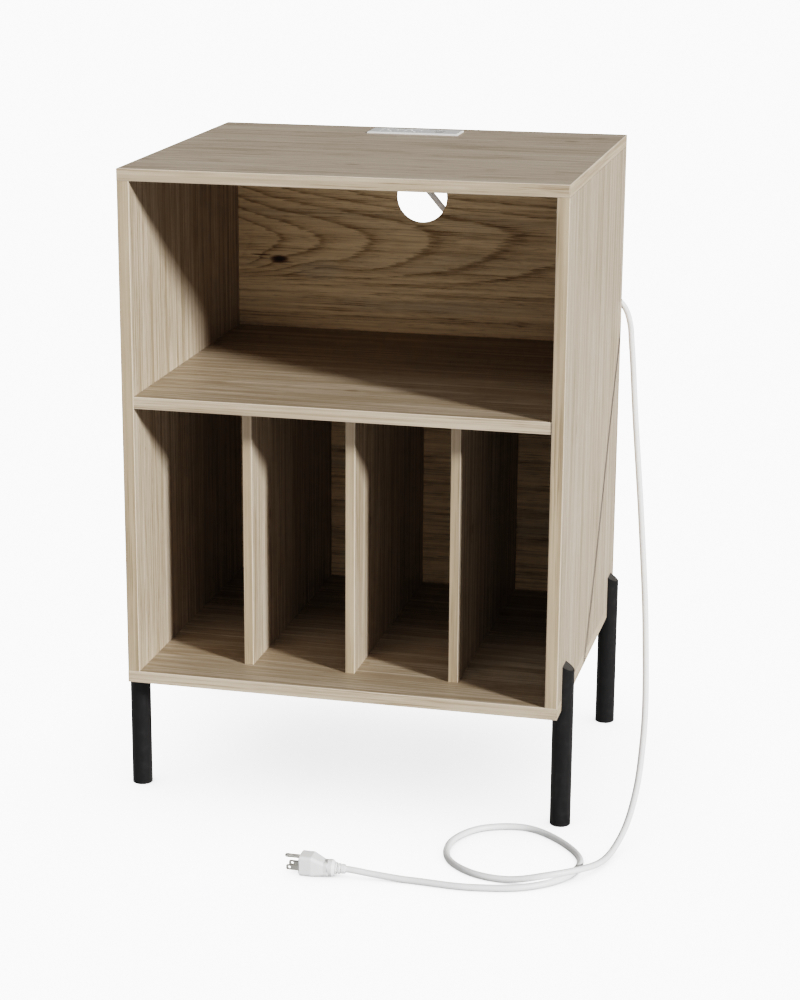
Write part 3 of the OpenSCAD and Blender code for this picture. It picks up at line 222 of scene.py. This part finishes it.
def smooth_line(points, step, lowest):
    """Points along the smooth curve through the given ones, never below the lowest height."""
    chords = [(b - a).length for a, b in zip(points, points[1:])]
    slopes = [(b - a) / length for a, b, length in zip(points, points[1:], chords)]
    tangents = [slopes[0]]
    for i in range(1, len(slopes)):
        before, after = chords[i - 1], chords[i]
        tangents.append((slopes[i - 1] * after + slopes[i] * before) / (before + after))
    tangents.append(slopes[-1])
    line = []
    for i, length in enumerate(chords):
        parts = math.ceil(length / step)
        for k in range(parts):
            t = k / parts
            near = (2 * t**3 - 3 * t**2 + 1) * points[i] + (3 * t**2 - 2 * t**3) * points[i + 1]
            bend = (t**3 - 2 * t**2 + t) * tangents[i] + (t**3 - t**2) * tangents[i + 1]
            line.append(near + length * bend)
    line.append(points[-1])
    return [Vector((p.x, p.y, max(p.z, lowest))) for p in line]


cord_pvc = soft_plastic("cord_pvc", (0.95, 0.95, 0.945, 1), 0.42, grain=700, depth=0.05 * MM)
cord_line = smooth_line([Vector(p) * MM for p in cord_route_mm], cord_step, cord_diameter / 2)
from_exit = [(p - Vector(cord_exit)).length for p in cord_line]
cord_line = cord_line[from_exit.index(min(from_exit)):]
cord_curve = bpy.data.curves.new("mains_cord", "CURVE")
cord_curve.dimensions = "3D"
cord_curve.bevel_depth = cord_diameter / 2
cord_curve.bevel_resolution = 6
cord_curve.use_fill_caps = True
cord_spline = cord_curve.splines.new("POLY")
cord_spline.points.add(len(cord_line) - 1)
for point, place in zip(cord_spline.points, cord_line):
    point.co = (*place, 1)
cord_spline.use_smooth = True
cord = bpy.data.objects.new("mains_cord", cord_curve)
bpy.context.collection.objects.link(cord)
cord_pvc.wear(cord)
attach(cord, "root")
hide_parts("power_cord")

# ---- Plug, gland and cord clip ----
# The plug is moulded round the cord's end in soft white PVC, with plated blades and ground pin.
# The gland is pressed into the housing's wall, and the clip is stuck on the back board.
white_pvc = soft_plastic("white_pvc", (0.95, 0.95, 0.945, 1), 0.38, grain=500, depth=0.08 * MM)
white_pvc.wear("plug_body", "cord_gland")
clip_nylon = soft_plastic("clip_nylon", (0.80, 0.80, 0.78, 1), 0.32, grain=300, depth=0.04 * MM)
clip_nylon.wear("cord_clip")


def bare_metal(name, colour, roughness, brushed, tarnish):
    """Drawn, turned or cast metal, a little darker where it has aged.

    brushed is the scale of its fine lines, and tarnish is the share of colour that age takes.
    """
    line_depth = 0.02 * MM
    line_gloss, aged_gloss = 0.25, 0.1
    metal = Finish(name, {"Metallic": 1})
    lines = metal.noise(metal.place, brushed, detail=4, roughness=0.7)
    aged = metal.noise(metal.place, 90, detail=4)
    dark = toned(colour, [1 - tarnish] * 3)
    metal.drive(
        Base_Color=metal.blend(aged.step(0.42, 0.72), colour, dark),
        Roughness=roughness + (lines - 0.5) * line_gloss + aged.step(0.5, 0.8) * aged_gloss,
        bump=(lines, line_depth),
    )
    return metal


plated = bare_metal("nickel_plate", (0.78, 0.76, 0.71, 1), 0.22, (60, 900, 900), 0.12)
plated.wear("plug_blades", "plug_ground_pin")

# ---- Laminated boards ----
# Particle board, 15 mm for the carcass and 12 mm for the dividers, faced with oak printed paper.
# The print's grain runs along the length of each board; the raw core shows on the rear edges.
pale_oak = (0.546, 0.462, 0.371, 1)
tan_oak = (0.300, 0.228, 0.155, 1)
pore_brown = (0.170, 0.112, 0.062, 1)
core_pale = (0.46, 0.33, 0.19, 1)
core_dark = (0.20, 0.12, 0.055, 1)
chip_scale = 420
raw_from = 224.6 * MM
raw_fade = 0.3 * MM
outer_fade = 0.4 * MM
paper_depth = 0.12 * MM
paper_roughness = 0.46
core_rougher = 0.3
knot_push_rings = 1.6
knot_darkness = 0.6
black, white = (0, 0, 0, 1), (1, 1, 1, 1)
ring_stops = [
    (0, black), (0.05, (0.8, 0.8, 0.8, 1)), (0.12, white), (0.24, (0.5, 0.5, 0.5, 1)),
    (0.50, (0.14, 0.14, 0.14, 1)), (1, black),
]


def rings_round(finish, grain, along, across, heart, taper):
    """How far each point is from the log's heart, which sinks into the board with the taper."""
    wander = finish.noise(grain, (2.2, 9, 9), detail=2) - 0.5
    drift = finish.noise(grain, (0.9, 3, 3), detail=1) - 0.5
    off_heart = across - heart[1] + wander * (30 * MM) + drift * (50 * MM)
    sunk = (along - heart[0]) * taper
    return (off_heart * off_heart + sunk * sunk).math("SQRT")


def from_knot(along, across, knot, stretch=2.4):
    """How far each point is from a knot, in its own widths, squared. It is longer with the grain."""
    long_way = (along - knot[0]) * (1 / (stretch * knot[2]))
    short_way = (across - knot[1]) * (1 / knot[2])
    return long_way * long_way + short_way * short_way


def growth_lines(finish, grain, rings, ring, feather):
    """Dark lines of the growth rings, whose edges break up into spikes along the grain."""
    first_ring = 0.1
    spikes = finish.noise(grain, (16, 420, 420), detail=3, roughness=0.6) - 0.5
    phase = (rings * (1 / ring) + spikes * feather + first_ring).math("FRACT")
    return finish.node("ShaderNodeValToRGB", {"stops": ring_stops}, [phase])


def oak_streaks(finish, grain):
    """The print between the rings, around 0: broad bands, narrow streaks and short dark dashes."""
    band_strength, streak_strength, dash_strength = 0.7, 1.5, 0.55
    bands = finish.noise(grain, (2.4, 52, 52), detail=4, roughness=0.62)
    streaks = finish.noise(grain, (2.6, 290, 290), detail=4, roughness=0.66)
    dashes = finish.noise(grain, (10, 620, 620), detail=3, roughness=0.6).step(0.50, 0.66)
    clumps = finish.noise(grain, (6, 40, 40), detail=3).step(0.40, 0.64)
    level = (bands - 0.5) * band_strength + (streaks - 0.5) * streak_strength
    return level + dashes * clumps * dash_strength


def printed_oak(name, axes, figure, streak, shade, heart, taper, ring, knots, outer):
    """The oak paper of a board: rings, streaks, pores and knots, and the raw rear edge.

    axes are the ones that run along, across and through the grain. figure and streak are how
    strong the rings and streaks are, and shade is how tan the paper is on all but the outer face:
    darker there, as painted shade for the inside of the cabinet. The log's heart, the width of a
    ring and the knots are in metres. On the outer face, which has no painted shade, the print is
    quieter and paler: outer gives the axis and distance from which it is, its strength, and how
    tan it is.
    """
    oak = Finish(name, {"Specular IOR Level": 0.35})
    place = oak.split(oak.place)
    along, across, through = (place[axis] for axis in axes)
    grain = oak.join(along, across, through)
    rings = rings_round(oak, grain, along, across, heart, taper)
    knot = 0
    for spot in knots:
        away = from_knot(along, across, spot)
        rings = rings + (away * -1).math("EXPONENT") * (knot_push_rings * ring)
        knot = 1 - away.step(0.02, 0.30) + knot
    lines = growth_lines(oak, grain, rings, ring, feather=0.5)
    streaks = oak_streaks(oak, grain)
    pores = oak.noise(grain, (45, 1100, 1100), detail=2, roughness=0.6).step(0.57, 0.70)
    axis, outer_from, outer_gain, outer_shade = outer
    outside = place[axis].math("ABSOLUTE").step(outer_from, outer_from + outer_fade)
    gain = 1 - outside * (1 - outer_gain)
    # Off the outer face the paper is tanner: painted shade for the inside of the cabinet.
    tan = (lines * figure + streaks * streak) * gain + shade + outside * (outer_shade - shade)
    colour = oak.blend(tan, pale_oak, tan_oak)
    colour = oak.blend(pores * gain * (lines * 0.4 + 0.3), colour, pore_brown)
    colour = oak.blend(knot * gain * knot_darkness, colour, pore_brown)
    raw = place[1].step(raw_from, raw_from + raw_fade)
    cells = {"Vector": oak.place, "Scale": chip_scale}
    chip = oak.split(oak.node("ShaderNodeTexVoronoi", None, cells, "Color"))[0]
    oak.drive(
        Base_Color=oak.blend(raw, colour, oak.blend(chip, core_pale, core_dark)),
        Roughness=pores * 0.12 + streaks * 0.10 + raw * core_rougher + paper_roughness,
        bump=(pores * -0.7 - streaks * 0.3 + raw * chip, paper_depth),
    )
    return oak


ALONG_X = (0, 1, 2)
ALONG_Z = (2, 1, 0)
deck_oak = printed_oak(
    "oak_decks", ALONG_X, figure=0.26, streak=2.2, shade=0.66, heart=(-0.010, -0.128), taper=0.20,
    ring=0.017, knots=[(0.212, 0.140, 0.009), (0.240, 0.176, 0.010), (-0.008, -0.126, 0.010)],
    outer=(2, 0.790, 0.85, 0.15),
)
deck_oak.wear("top_board", "bottom_board", "middle_shelf")
side_oak = printed_oak(
    "oak_sides", ALONG_Z, figure=0.30, streak=2.1, shade=0.37, heart=(0.487, -0.240), taper=0.05,
    ring=0.021, knots=[(0.487, -0.131, 0.008)], outer=(0, 0.2625, 0.70, 0.28),
)
side_oak.wear("side_board_left", "side_board_right")
# The dividers have no outer face, so theirs begins at a distance that none of them reaches.
divider_oak = printed_oak(
    "oak_dividers", ALONG_Z, figure=0.28, streak=2.2, shade=0.40, heart=(0.200, 0.080), taper=0.12,
    ring=0.018, knots=[(0.341, -0.086, 0.008)], outer=(0, 0.5, 1, 0.38),
)
divider_oak.wear("divider_left", "divider_centre", "divider_right")

# ---- Edge bands ----
# Oak edge band, 1 mm thick, glued with hot melt on the faced edges and rounded with a scraper.
# The level bands are paler than the boards, and the upright ones are more yellow.
# A painted highlight runs along each band's rounded edges.
band_pale = (0.621, 0.522, 0.410, 1)
band_tan = (0.293, 0.211, 0.135, 1)
edge_highlight_pale = (0.720, 0.643, 0.549, 1)
end_from = 268.5 * MM
carcass_half = 7.5 * MM
divider_half = 6 * MM
rounded_from = 1.1 * MM
rounded_full = 0.3 * MM
edge_highlight_share = 0.5
band_streak, band_patch, band_shade = 1.25, 0.9, 0.24
band_roughness = 0.42
band_depth = 0.08 * MM


def banded_oak(name, axes, tint, middles, half, turned_ends=False):
    """The band's own print, with a painted highlight along its rounded edges.

    middles are the places across the grain of the boards' middles, and half is half a board's
    thickness. On the ends of a board the print runs from front to back.
    """
    band = Finish(name, {"Specular IOR Level": 0.4})
    place = band.split(band.place)
    along, across, through = (place[axis] for axis in axes)
    if turned_ends:
        end = along.math("ABSOLUTE").math("GREATER_THAN", end_from)
        turn = end * (through - along)
        along, through = along + turn, through - turn
    grain = band.join(along, across, through)
    streaks = oak_streaks(band, grain)
    patches = band.noise(grain, (7, 50, 50), detail=3, roughness=0.55)
    off_middle = (across - middles[0]).math("ABSOLUTE")
    for middle in middles[1:]:
        off_middle = off_middle.math("MINIMUM", (across - middle).math("ABSOLUTE"))
    corner = off_middle.step(half - rounded_from, half - rounded_full)
    shade = streaks * band_streak + (patches - 0.5) * band_patch + band_shade
    colour = band.blend(shade, toned(band_pale, tint), band_tan)
    # The paler colour along the rounded edges is a painted highlight.
    colour = band.blend(corner * edge_highlight_share, colour, edge_highlight_pale)
    band.drive(
        Base_Color=colour,
        Roughness=streaks * 0.1 - corner * 0.06 + band_roughness,
        bump=(corner * -0.6 - streaks * 0.5, band_depth),
    )
    return band


level_tint = (0.97, 0.95, 0.93)
upright_tint = (0.83, 0.78, 0.71)
deck_band = banded_oak(
    "oak_band_decks", (0, 2, 1), level_tint, [158.5 * MM, 785.5 * MM], carcass_half, turned_ends=True
)
deck_band.wear("top_edge_bands", "bottom_edge_bands")
shelf_band = banded_oak("oak_band_shelf", (0, 2, 1), level_tint, [509.5 * MM], carcass_half)
shelf_band.wear("shelf_edge_band")
side_band = banded_oak(
    "oak_band_sides", (2, 0, 1), upright_tint, [-262.5 * MM, 262.5 * MM], carcass_half
)
side_band.wear("side_edge_bands")
divider_band = banded_oak(
    "oak_band_dividers", (2, 0, 1), upright_tint, [-130.5 * MM, 0, 130.5 * MM], divider_half
)
divider_band.wear("divider_edge_bands")

# ---- Back board ----
# Hardboard, 3 mm thick, in a rebate of the carcass and held by nails. Its front is oak printed
# with nested hooks beside a knot; its rear and the rim of the cable hole are raw.
back_pale = (0.740, 0.565, 0.365, 1)
back_tan = (0.265, 0.168, 0.078, 1)
back_pore = (0.095, 0.052, 0.022, 1)
back_grey = (0.520, 0.455, 0.360, 1)
back_knot_brown = (0.110, 0.050, 0.022, 1)
back_knot_core = (0.018, 0.009, 0.005, 1)
fibre_dark = (0.25, 0.145, 0.070, 1)
fibre_pale = (0.44, 0.290, 0.165, 1)
# The knot, the swirl beside it and two dark cracks: each one's x and z, and its width.
back_knot = (-0.198, 0.610, 0.0052)
back_swirl = (-0.141, 0.597, 0.014)
back_cracks = [(-0.223, 0.6150, 0.0009), (-0.190, 0.6065, 0.0008)]
crack_stretch = 18
crack_wander = 4 * MM
# The hooks are rings round an almost level axis. They open to the left and close to the right.
hook_ring = 17.5 * MM
hook_tip = 24 * MM
hook_from_x = -0.370
hook_turn = 90 * MM
hook_run = 70.9 * MM
hook_start = -10.3 * MM
innermost = -0.115
innermost_fade = 5 * MM
hook_axis_z = 0.648
hook_axis_slope = 0.05
hook_wander = 20 * MM
hook_spread, hook_lean = 0.95, 0.35
knot_push = 12 * MM
swirl_push = 20 * MM
# Below them the lines run straight from side to side.
hooks_end_z, hooks_full_z = 0.560, 0.612
straight_line_z = 0.573
straight_share = 0.47
straight_wander = 16 * MM
# The raw rear and the raw rim of the cable hole.
back_rear = 223.0 * MM
hole_z = 702 * MM
hole_radius = 34.3 * MM
rim_fade = 0.2 * MM
# How strong the lines and clouds of the print are, and how much its lines fade.
back_figure, back_cloud, back_shade = 0.62, 0.7, 0.10
below_fade, inside_fade = 0.45, 0.8
swirl_grey = 0.30
knot_core_share = 0.9
back_roughness = 0.52
fibre_rougher = 0.25
back_depth = 0.12 * MM

back = Finish("oak_back", {"Specular IOR Level": 0.3})
x, y, z = back.split(back.place)
grain = back.join(x, z, y)
wander = back.noise(grain, (3, 14, 14), detail=3) - 0.5
across = z - x * hook_axis_slope - hook_axis_z + wander * hook_wander
across = across.math("ABSOLUTE") * hook_spread + across * hook_lean
hooks = (across * across + hook_tip**2).math("SQRT")
run = x - hook_from_x
run = (run + (run * run + hook_turn**2).math("SQRT")) * 0.5
hooks = hooks + run.math("LOGARITHM", math.e) * hook_run + hook_start
near_knot = from_knot(x, z, back_knot)
near_swirl = from_knot(x, z, back_swirl)
hooks = hooks + (near_knot * -0.12).math("EXPONENT") * knot_push
hooks = hooks + (near_swirl * -0.8).math("EXPONENT") * swirl_push
straight = (z - straight_line_z + wander * straight_wander) * -straight_share
low = 1 - z.step(hooks_end_z, hooks_full_z)
rings = hooks + (straight - hooks) * low
lines = growth_lines(back, grain, rings, hook_ring, feather=0.55)
streaks = oak_streaks(back, grain)
broad = back.noise(grain, (2.2, 26, 26), detail=3)
pores = back.noise(grain, (40, 900, 900), detail=2, roughness=0.6).step(0.55, 0.70)
inside = 1 - hooks.step(innermost - innermost_fade, innermost + innermost_fade)
lines = lines * (1 - low * below_fade) * (1 - inside * inside_fade)
shade = lines * back_figure + streaks + (broad - 0.5) * back_cloud + back_shade
colour = back.blend(broad.step(0.5, 0.72) * 0.5, back_pale, back_grey)
colour = back.blend(shade, colour, back_tan)
colour = back.blend(pores * (lines * 0.5 + 0.25), colour, back_pore)
colour = back.blend((1 - near_swirl.step(0.1, 1.6)) * swirl_grey, colour, back_grey)
for crack in back_cracks:
    beside = from_knot(x, z + wander * crack_wander, crack, crack_stretch) + streaks * 0.8
    colour = back.blend(1 - beside.step(0.2, 1.4), colour, back_knot_brown)
eye = near_knot + streaks * 1.2
colour = back.blend(1 - eye.step(0.3, 1.7), colour, back_knot_brown)
colour = back.blend((1 - eye.step(0.0, 0.7)) * knot_core_share, colour, back_knot_core)
from_hole = (x * x + (z - hole_z) * (z - hole_z)).math("SQRT")
rim = 1 - from_hole.step(hole_radius, hole_radius + rim_fade)
raw = (y.step(back_rear, back_rear + rim_fade) + rim).math("MINIMUM", 1)
fibres = back.noise(back.place, 900, detail=4, roughness=0.7)
mottle = back.noise(back.place, 55, detail=4)
raw_colour = back.blend(fibres * 0.6 + mottle * 0.4, fibre_dark, fibre_pale)
back.drive(
    Base_Color=back.blend(raw, colour, raw_colour),
    Roughness=pores * 0.1 + raw * fibre_rougher + back_roughness,
    bump=((1 - raw) * (streaks * -0.4 - pores) + raw * fibres, back_depth),
)
back.wear("back_board")

# ---- Board fittings ----
# Zinc cam locks and steel cam bolts, beech dowels and pegs, and plated screws and nails. Paper
# covers in the boards' own colour are stuck over the cams of the top.
zinc = bare_metal("zinc_cast", (0.58, 0.58, 0.57, 1), 0.42, (400, 400, 400), 0.25)
zinc.wear("cam_locks")
bright_steel = bare_metal("zinc_plated_steel", (0.66, 0.66, 0.65, 1), 0.30, (900, 900, 120), 0.2)
bright_steel.wear("cam_bolts", "side_screws", "divider_screws", "back_nails")
beech_pale = (0.56, 0.38, 0.22, 1)
beech_fleck = (0.38, 0.22, 0.11, 1)
beech_roughness = 0.6
beech_depth = 0.1 * MM
beech = Finish("beech", {"Specular IOR Level": 0.3})
flecks = beech.noise(beech.place, (900, 900, 60), detail=3)
beech.drive(
    Base_Color=beech.blend(flecks.step(0.35, 0.7), beech_pale, beech_fleck),
    Roughness=flecks * 0.15 + beech_roughness,
    bump=(flecks, beech_depth),
)
beech.wear("dowels", "divider_pegs")
side_oak.wear("cam_covers")

# ---- Legs ----
# Steel tube, 25.4 mm across, closed with a slanted plate where it runs up the side, and welded to
# a seat plate that is screwed to the bottom. All of it is powder-coated satin black. The slanted
# plates get a painted highlight, a paler grey, and a black plastic glide is pressed into each foot.
coat_black = (0.0125, 0.0120, 0.0122, 1)
coat_dusty = (0.0190, 0.0182, 0.0182, 1)
cap_painted_highlight = (0.070, 0.065, 0.061, 1)
leg_x = 270 * MM
leg_middle_y = 4 * MM
leg_off_middle = 183 * MM
cap_top_z = 207 * MM
cap_fall = math.tan(math.radians(30))
cap_radius = 11.0 * MM
cap_fade = 0.6 * MM
coat_roughness = 0.30
peel_depth = 0.03 * MM

leg_coat = Finish("black_powder_coat", {"Specular IOR Level": 0.5})
x, y, z = leg_coat.split(leg_coat.place)
outward = x.math("ABSOLUTE") - leg_x
forward = (y - leg_middle_y).math("ABSOLUTE") - leg_off_middle
off_axis = (outward * outward + forward * forward).math("SQRT")
on_top = (z + outward * cap_fall).step(cap_top_z - 0.4 * MM, cap_top_z - 0.1 * MM)
cap = on_top * (1 - off_axis.step(cap_radius, cap_radius + cap_fade))
peel = leg_coat.noise(leg_coat.place, 480, detail=2)
dust = leg_coat.noise(leg_coat.place, 90, detail=5, roughness=0.7)
coat = leg_coat.blend(dust.step(0.48, 0.75), coat_black, coat_dusty)
# The cap plates are painted a paler grey than the coat: a painted highlight.
leg_coat.drive(
    Base_Color=leg_coat.blend(cap, coat, cap_painted_highlight),
    Roughness=dust.step(0.4, 0.7) * 0.08 + cap * 0.15 + coat_roughness,
    bump=(peel, peel_depth),
)
leg_coat.wear("leg_front_left", "leg_front_right", "leg_rear_left", "leg_rear_right", "leg_screws")
glide_black = soft_plastic("glide_black", (0.010, 0.010, 0.0105, 1), 0.5, grain=400, depth=0.1 * MM)
glide_black.wear("foot_front_left", "foot_front_right", "foot_rear_left", "foot_rear_right")

# ---- Power unit ----
# Moulded white ABS: a face plate let into the top, with two sockets and two USB ports, over a
# housing with brass contact bars in a carrier and a small circuit board. Steel clamps hold it
# from below.
white_abs = soft_plastic("white_abs", (0.80, 0.80, 0.79, 1), 0.34, grain=350, depth=0.06 * MM)
white_abs.wear("power_face_plate", "power_housing", "socket_insert_left", "socket_insert_right")
carrier_abs = soft_plastic("carrier_abs", (0.30, 0.30, 0.29, 1), 0.5, grain=350, depth=0.1 * MM)
carrier_abs.wear("contact_carrier", "usb_tongues")
brass = bare_metal("contact_brass", (0.72, 0.52, 0.24, 1), 0.28, (80, 700, 700), 0.3)
brass.wear("line_contact_bar", "neutral_contact_bar", "ground_contact_bar")
circuit = soft_plastic("circuit_green", (0.02, 0.14, 0.06, 1), 0.3, grain=300, depth=0.1 * MM)
circuit.wear("usb_circuit_board")
plated.wear("usb_port_shells")
bright_steel.wear("usb_board_screws", "housing_screws", "clamp_screws", "mounting_clamps")
core_pvc = soft_plastic("core_insulation", (0.10, 0.10, 0.10, 1), 0.45, grain=500, depth=0.05 * MM)
core_pvc.wear("core_wires")

# ---- Studio ----
# A white sweep under and behind the object, a soft main light from the front right, two cards in
# front that light the inside, one behind, and an even fill. To the camera the sweep glows white,
# overexposed as on a cut-out, with a painted shade where it is hidden from the open: under the
# object and beside the cord. To the lights it is plain grey.
floor_half = 6.0
sweep_strength = 4.5
painted_shade_reach = 0.26
painted_shade_power = 0.85
painted_shade_samples = 4
key_direction = (-1.5, 0.80, -0.69)
key_strength = 4.1
key_softness = math.radians(7)
# Each card's name, place, width and height, tilt from facing down, turn and power.
cards = [
    ("low_card", (0.2, -3.3, 0.50), (4.2, 0.5), 90, 0, 17),
    ("high_card", (-0.1, -1.8, 2.8), (1.6, 0.7), 36, 0, 10),
    ("rear_card", (-1.5, 2.6, 0.40), (2.4, 0.7), 90, 210, 29),
]
fill_strength = 0.13

bpy.ops.object.select_all(action="DESELECT")
bpy.ops.mesh.primitive_plane_add(size=2 * floor_half, location=(0, 0, 0))
floor = bpy.context.object
floor.name = "studio_floor"
floor_paint = Finish(
    "floor_paint", {"Base Color": (0.5, 0.5, 0.5, 1), "Roughness": 1, "Specular IOR Level": 0}
)
occlusion = {"samples": painted_shade_samples}
reach = {"Distance": painted_shade_reach}
# The glow the camera sees is darkened where the floor is hidden from the open: a painted shade.
open_share = floor_paint.node("ShaderNodeAmbientOcclusion", occlusion, reach, output="AO")
shade = open_share.math("POWER", painted_shade_power)
glow = {"Color": floor_paint.join(shade, shade, shade), "Strength": sweep_strength}
glow_with_painted_shade = floor_paint.node("ShaderNodeEmission", None, glow)
plain = Value(floor_paint, floor_paint.shader.outputs[0])
seen = floor_paint.node("ShaderNodeLightPath", output="Is Camera Ray")
sweep = floor_paint.node("ShaderNodeMixShader", None, [seen, plain, glow_with_painted_shade])
floor_paint.show(sweep, "Material Output")
floor_paint.wear(floor)

key = bpy.data.objects.new("main_light", bpy.data.lights.new("main_light", "SUN"))
key.data.energy = key_strength
key.data.angle = key_softness
key.rotation_euler = Vector(key_direction).to_track_quat("-Z", "Y").to_euler()
bpy.context.collection.objects.link(key)

for name, place, size, tilt, turn, power in cards:
    light = bpy.data.lights.new(name, "AREA")
    light.shape = "RECTANGLE"
    light.size, light.size_y = size
    light.energy = power
    card = bpy.data.objects.new(name, light)
    card.location = place
    card.rotation_euler = (math.radians(tilt), 0, math.radians(turn))
    card.visible_camera = False
    bpy.context.collection.objects.link(card)

world = bpy.data.worlds.new("studio")
bpy.context.scene.world = world
world.use_nodes = True
backdrop = Nodes(world.node_tree)
even_light = world.node_tree.nodes["Background"]
even_light.inputs["Color"].default_value = white
even_light.inputs["Strength"].default_value = fill_strength
fill = Value(backdrop, even_light.outputs[0])
far_glow = {"Color": white, "Strength": sweep_strength}
far_sweep = backdrop.node("ShaderNodeBackground", None, far_glow)
seen = backdrop.node("ShaderNodeLightPath", output="Is Camera Ray")
backdrop.show(backdrop.node("ShaderNodeMixShader", None, [seen, fill, far_sweep]), "World Output")

bpy.context.scene.view_settings.view_transform = "Filmic"
bpy.context.scene.view_settings.look = "High Contrast"
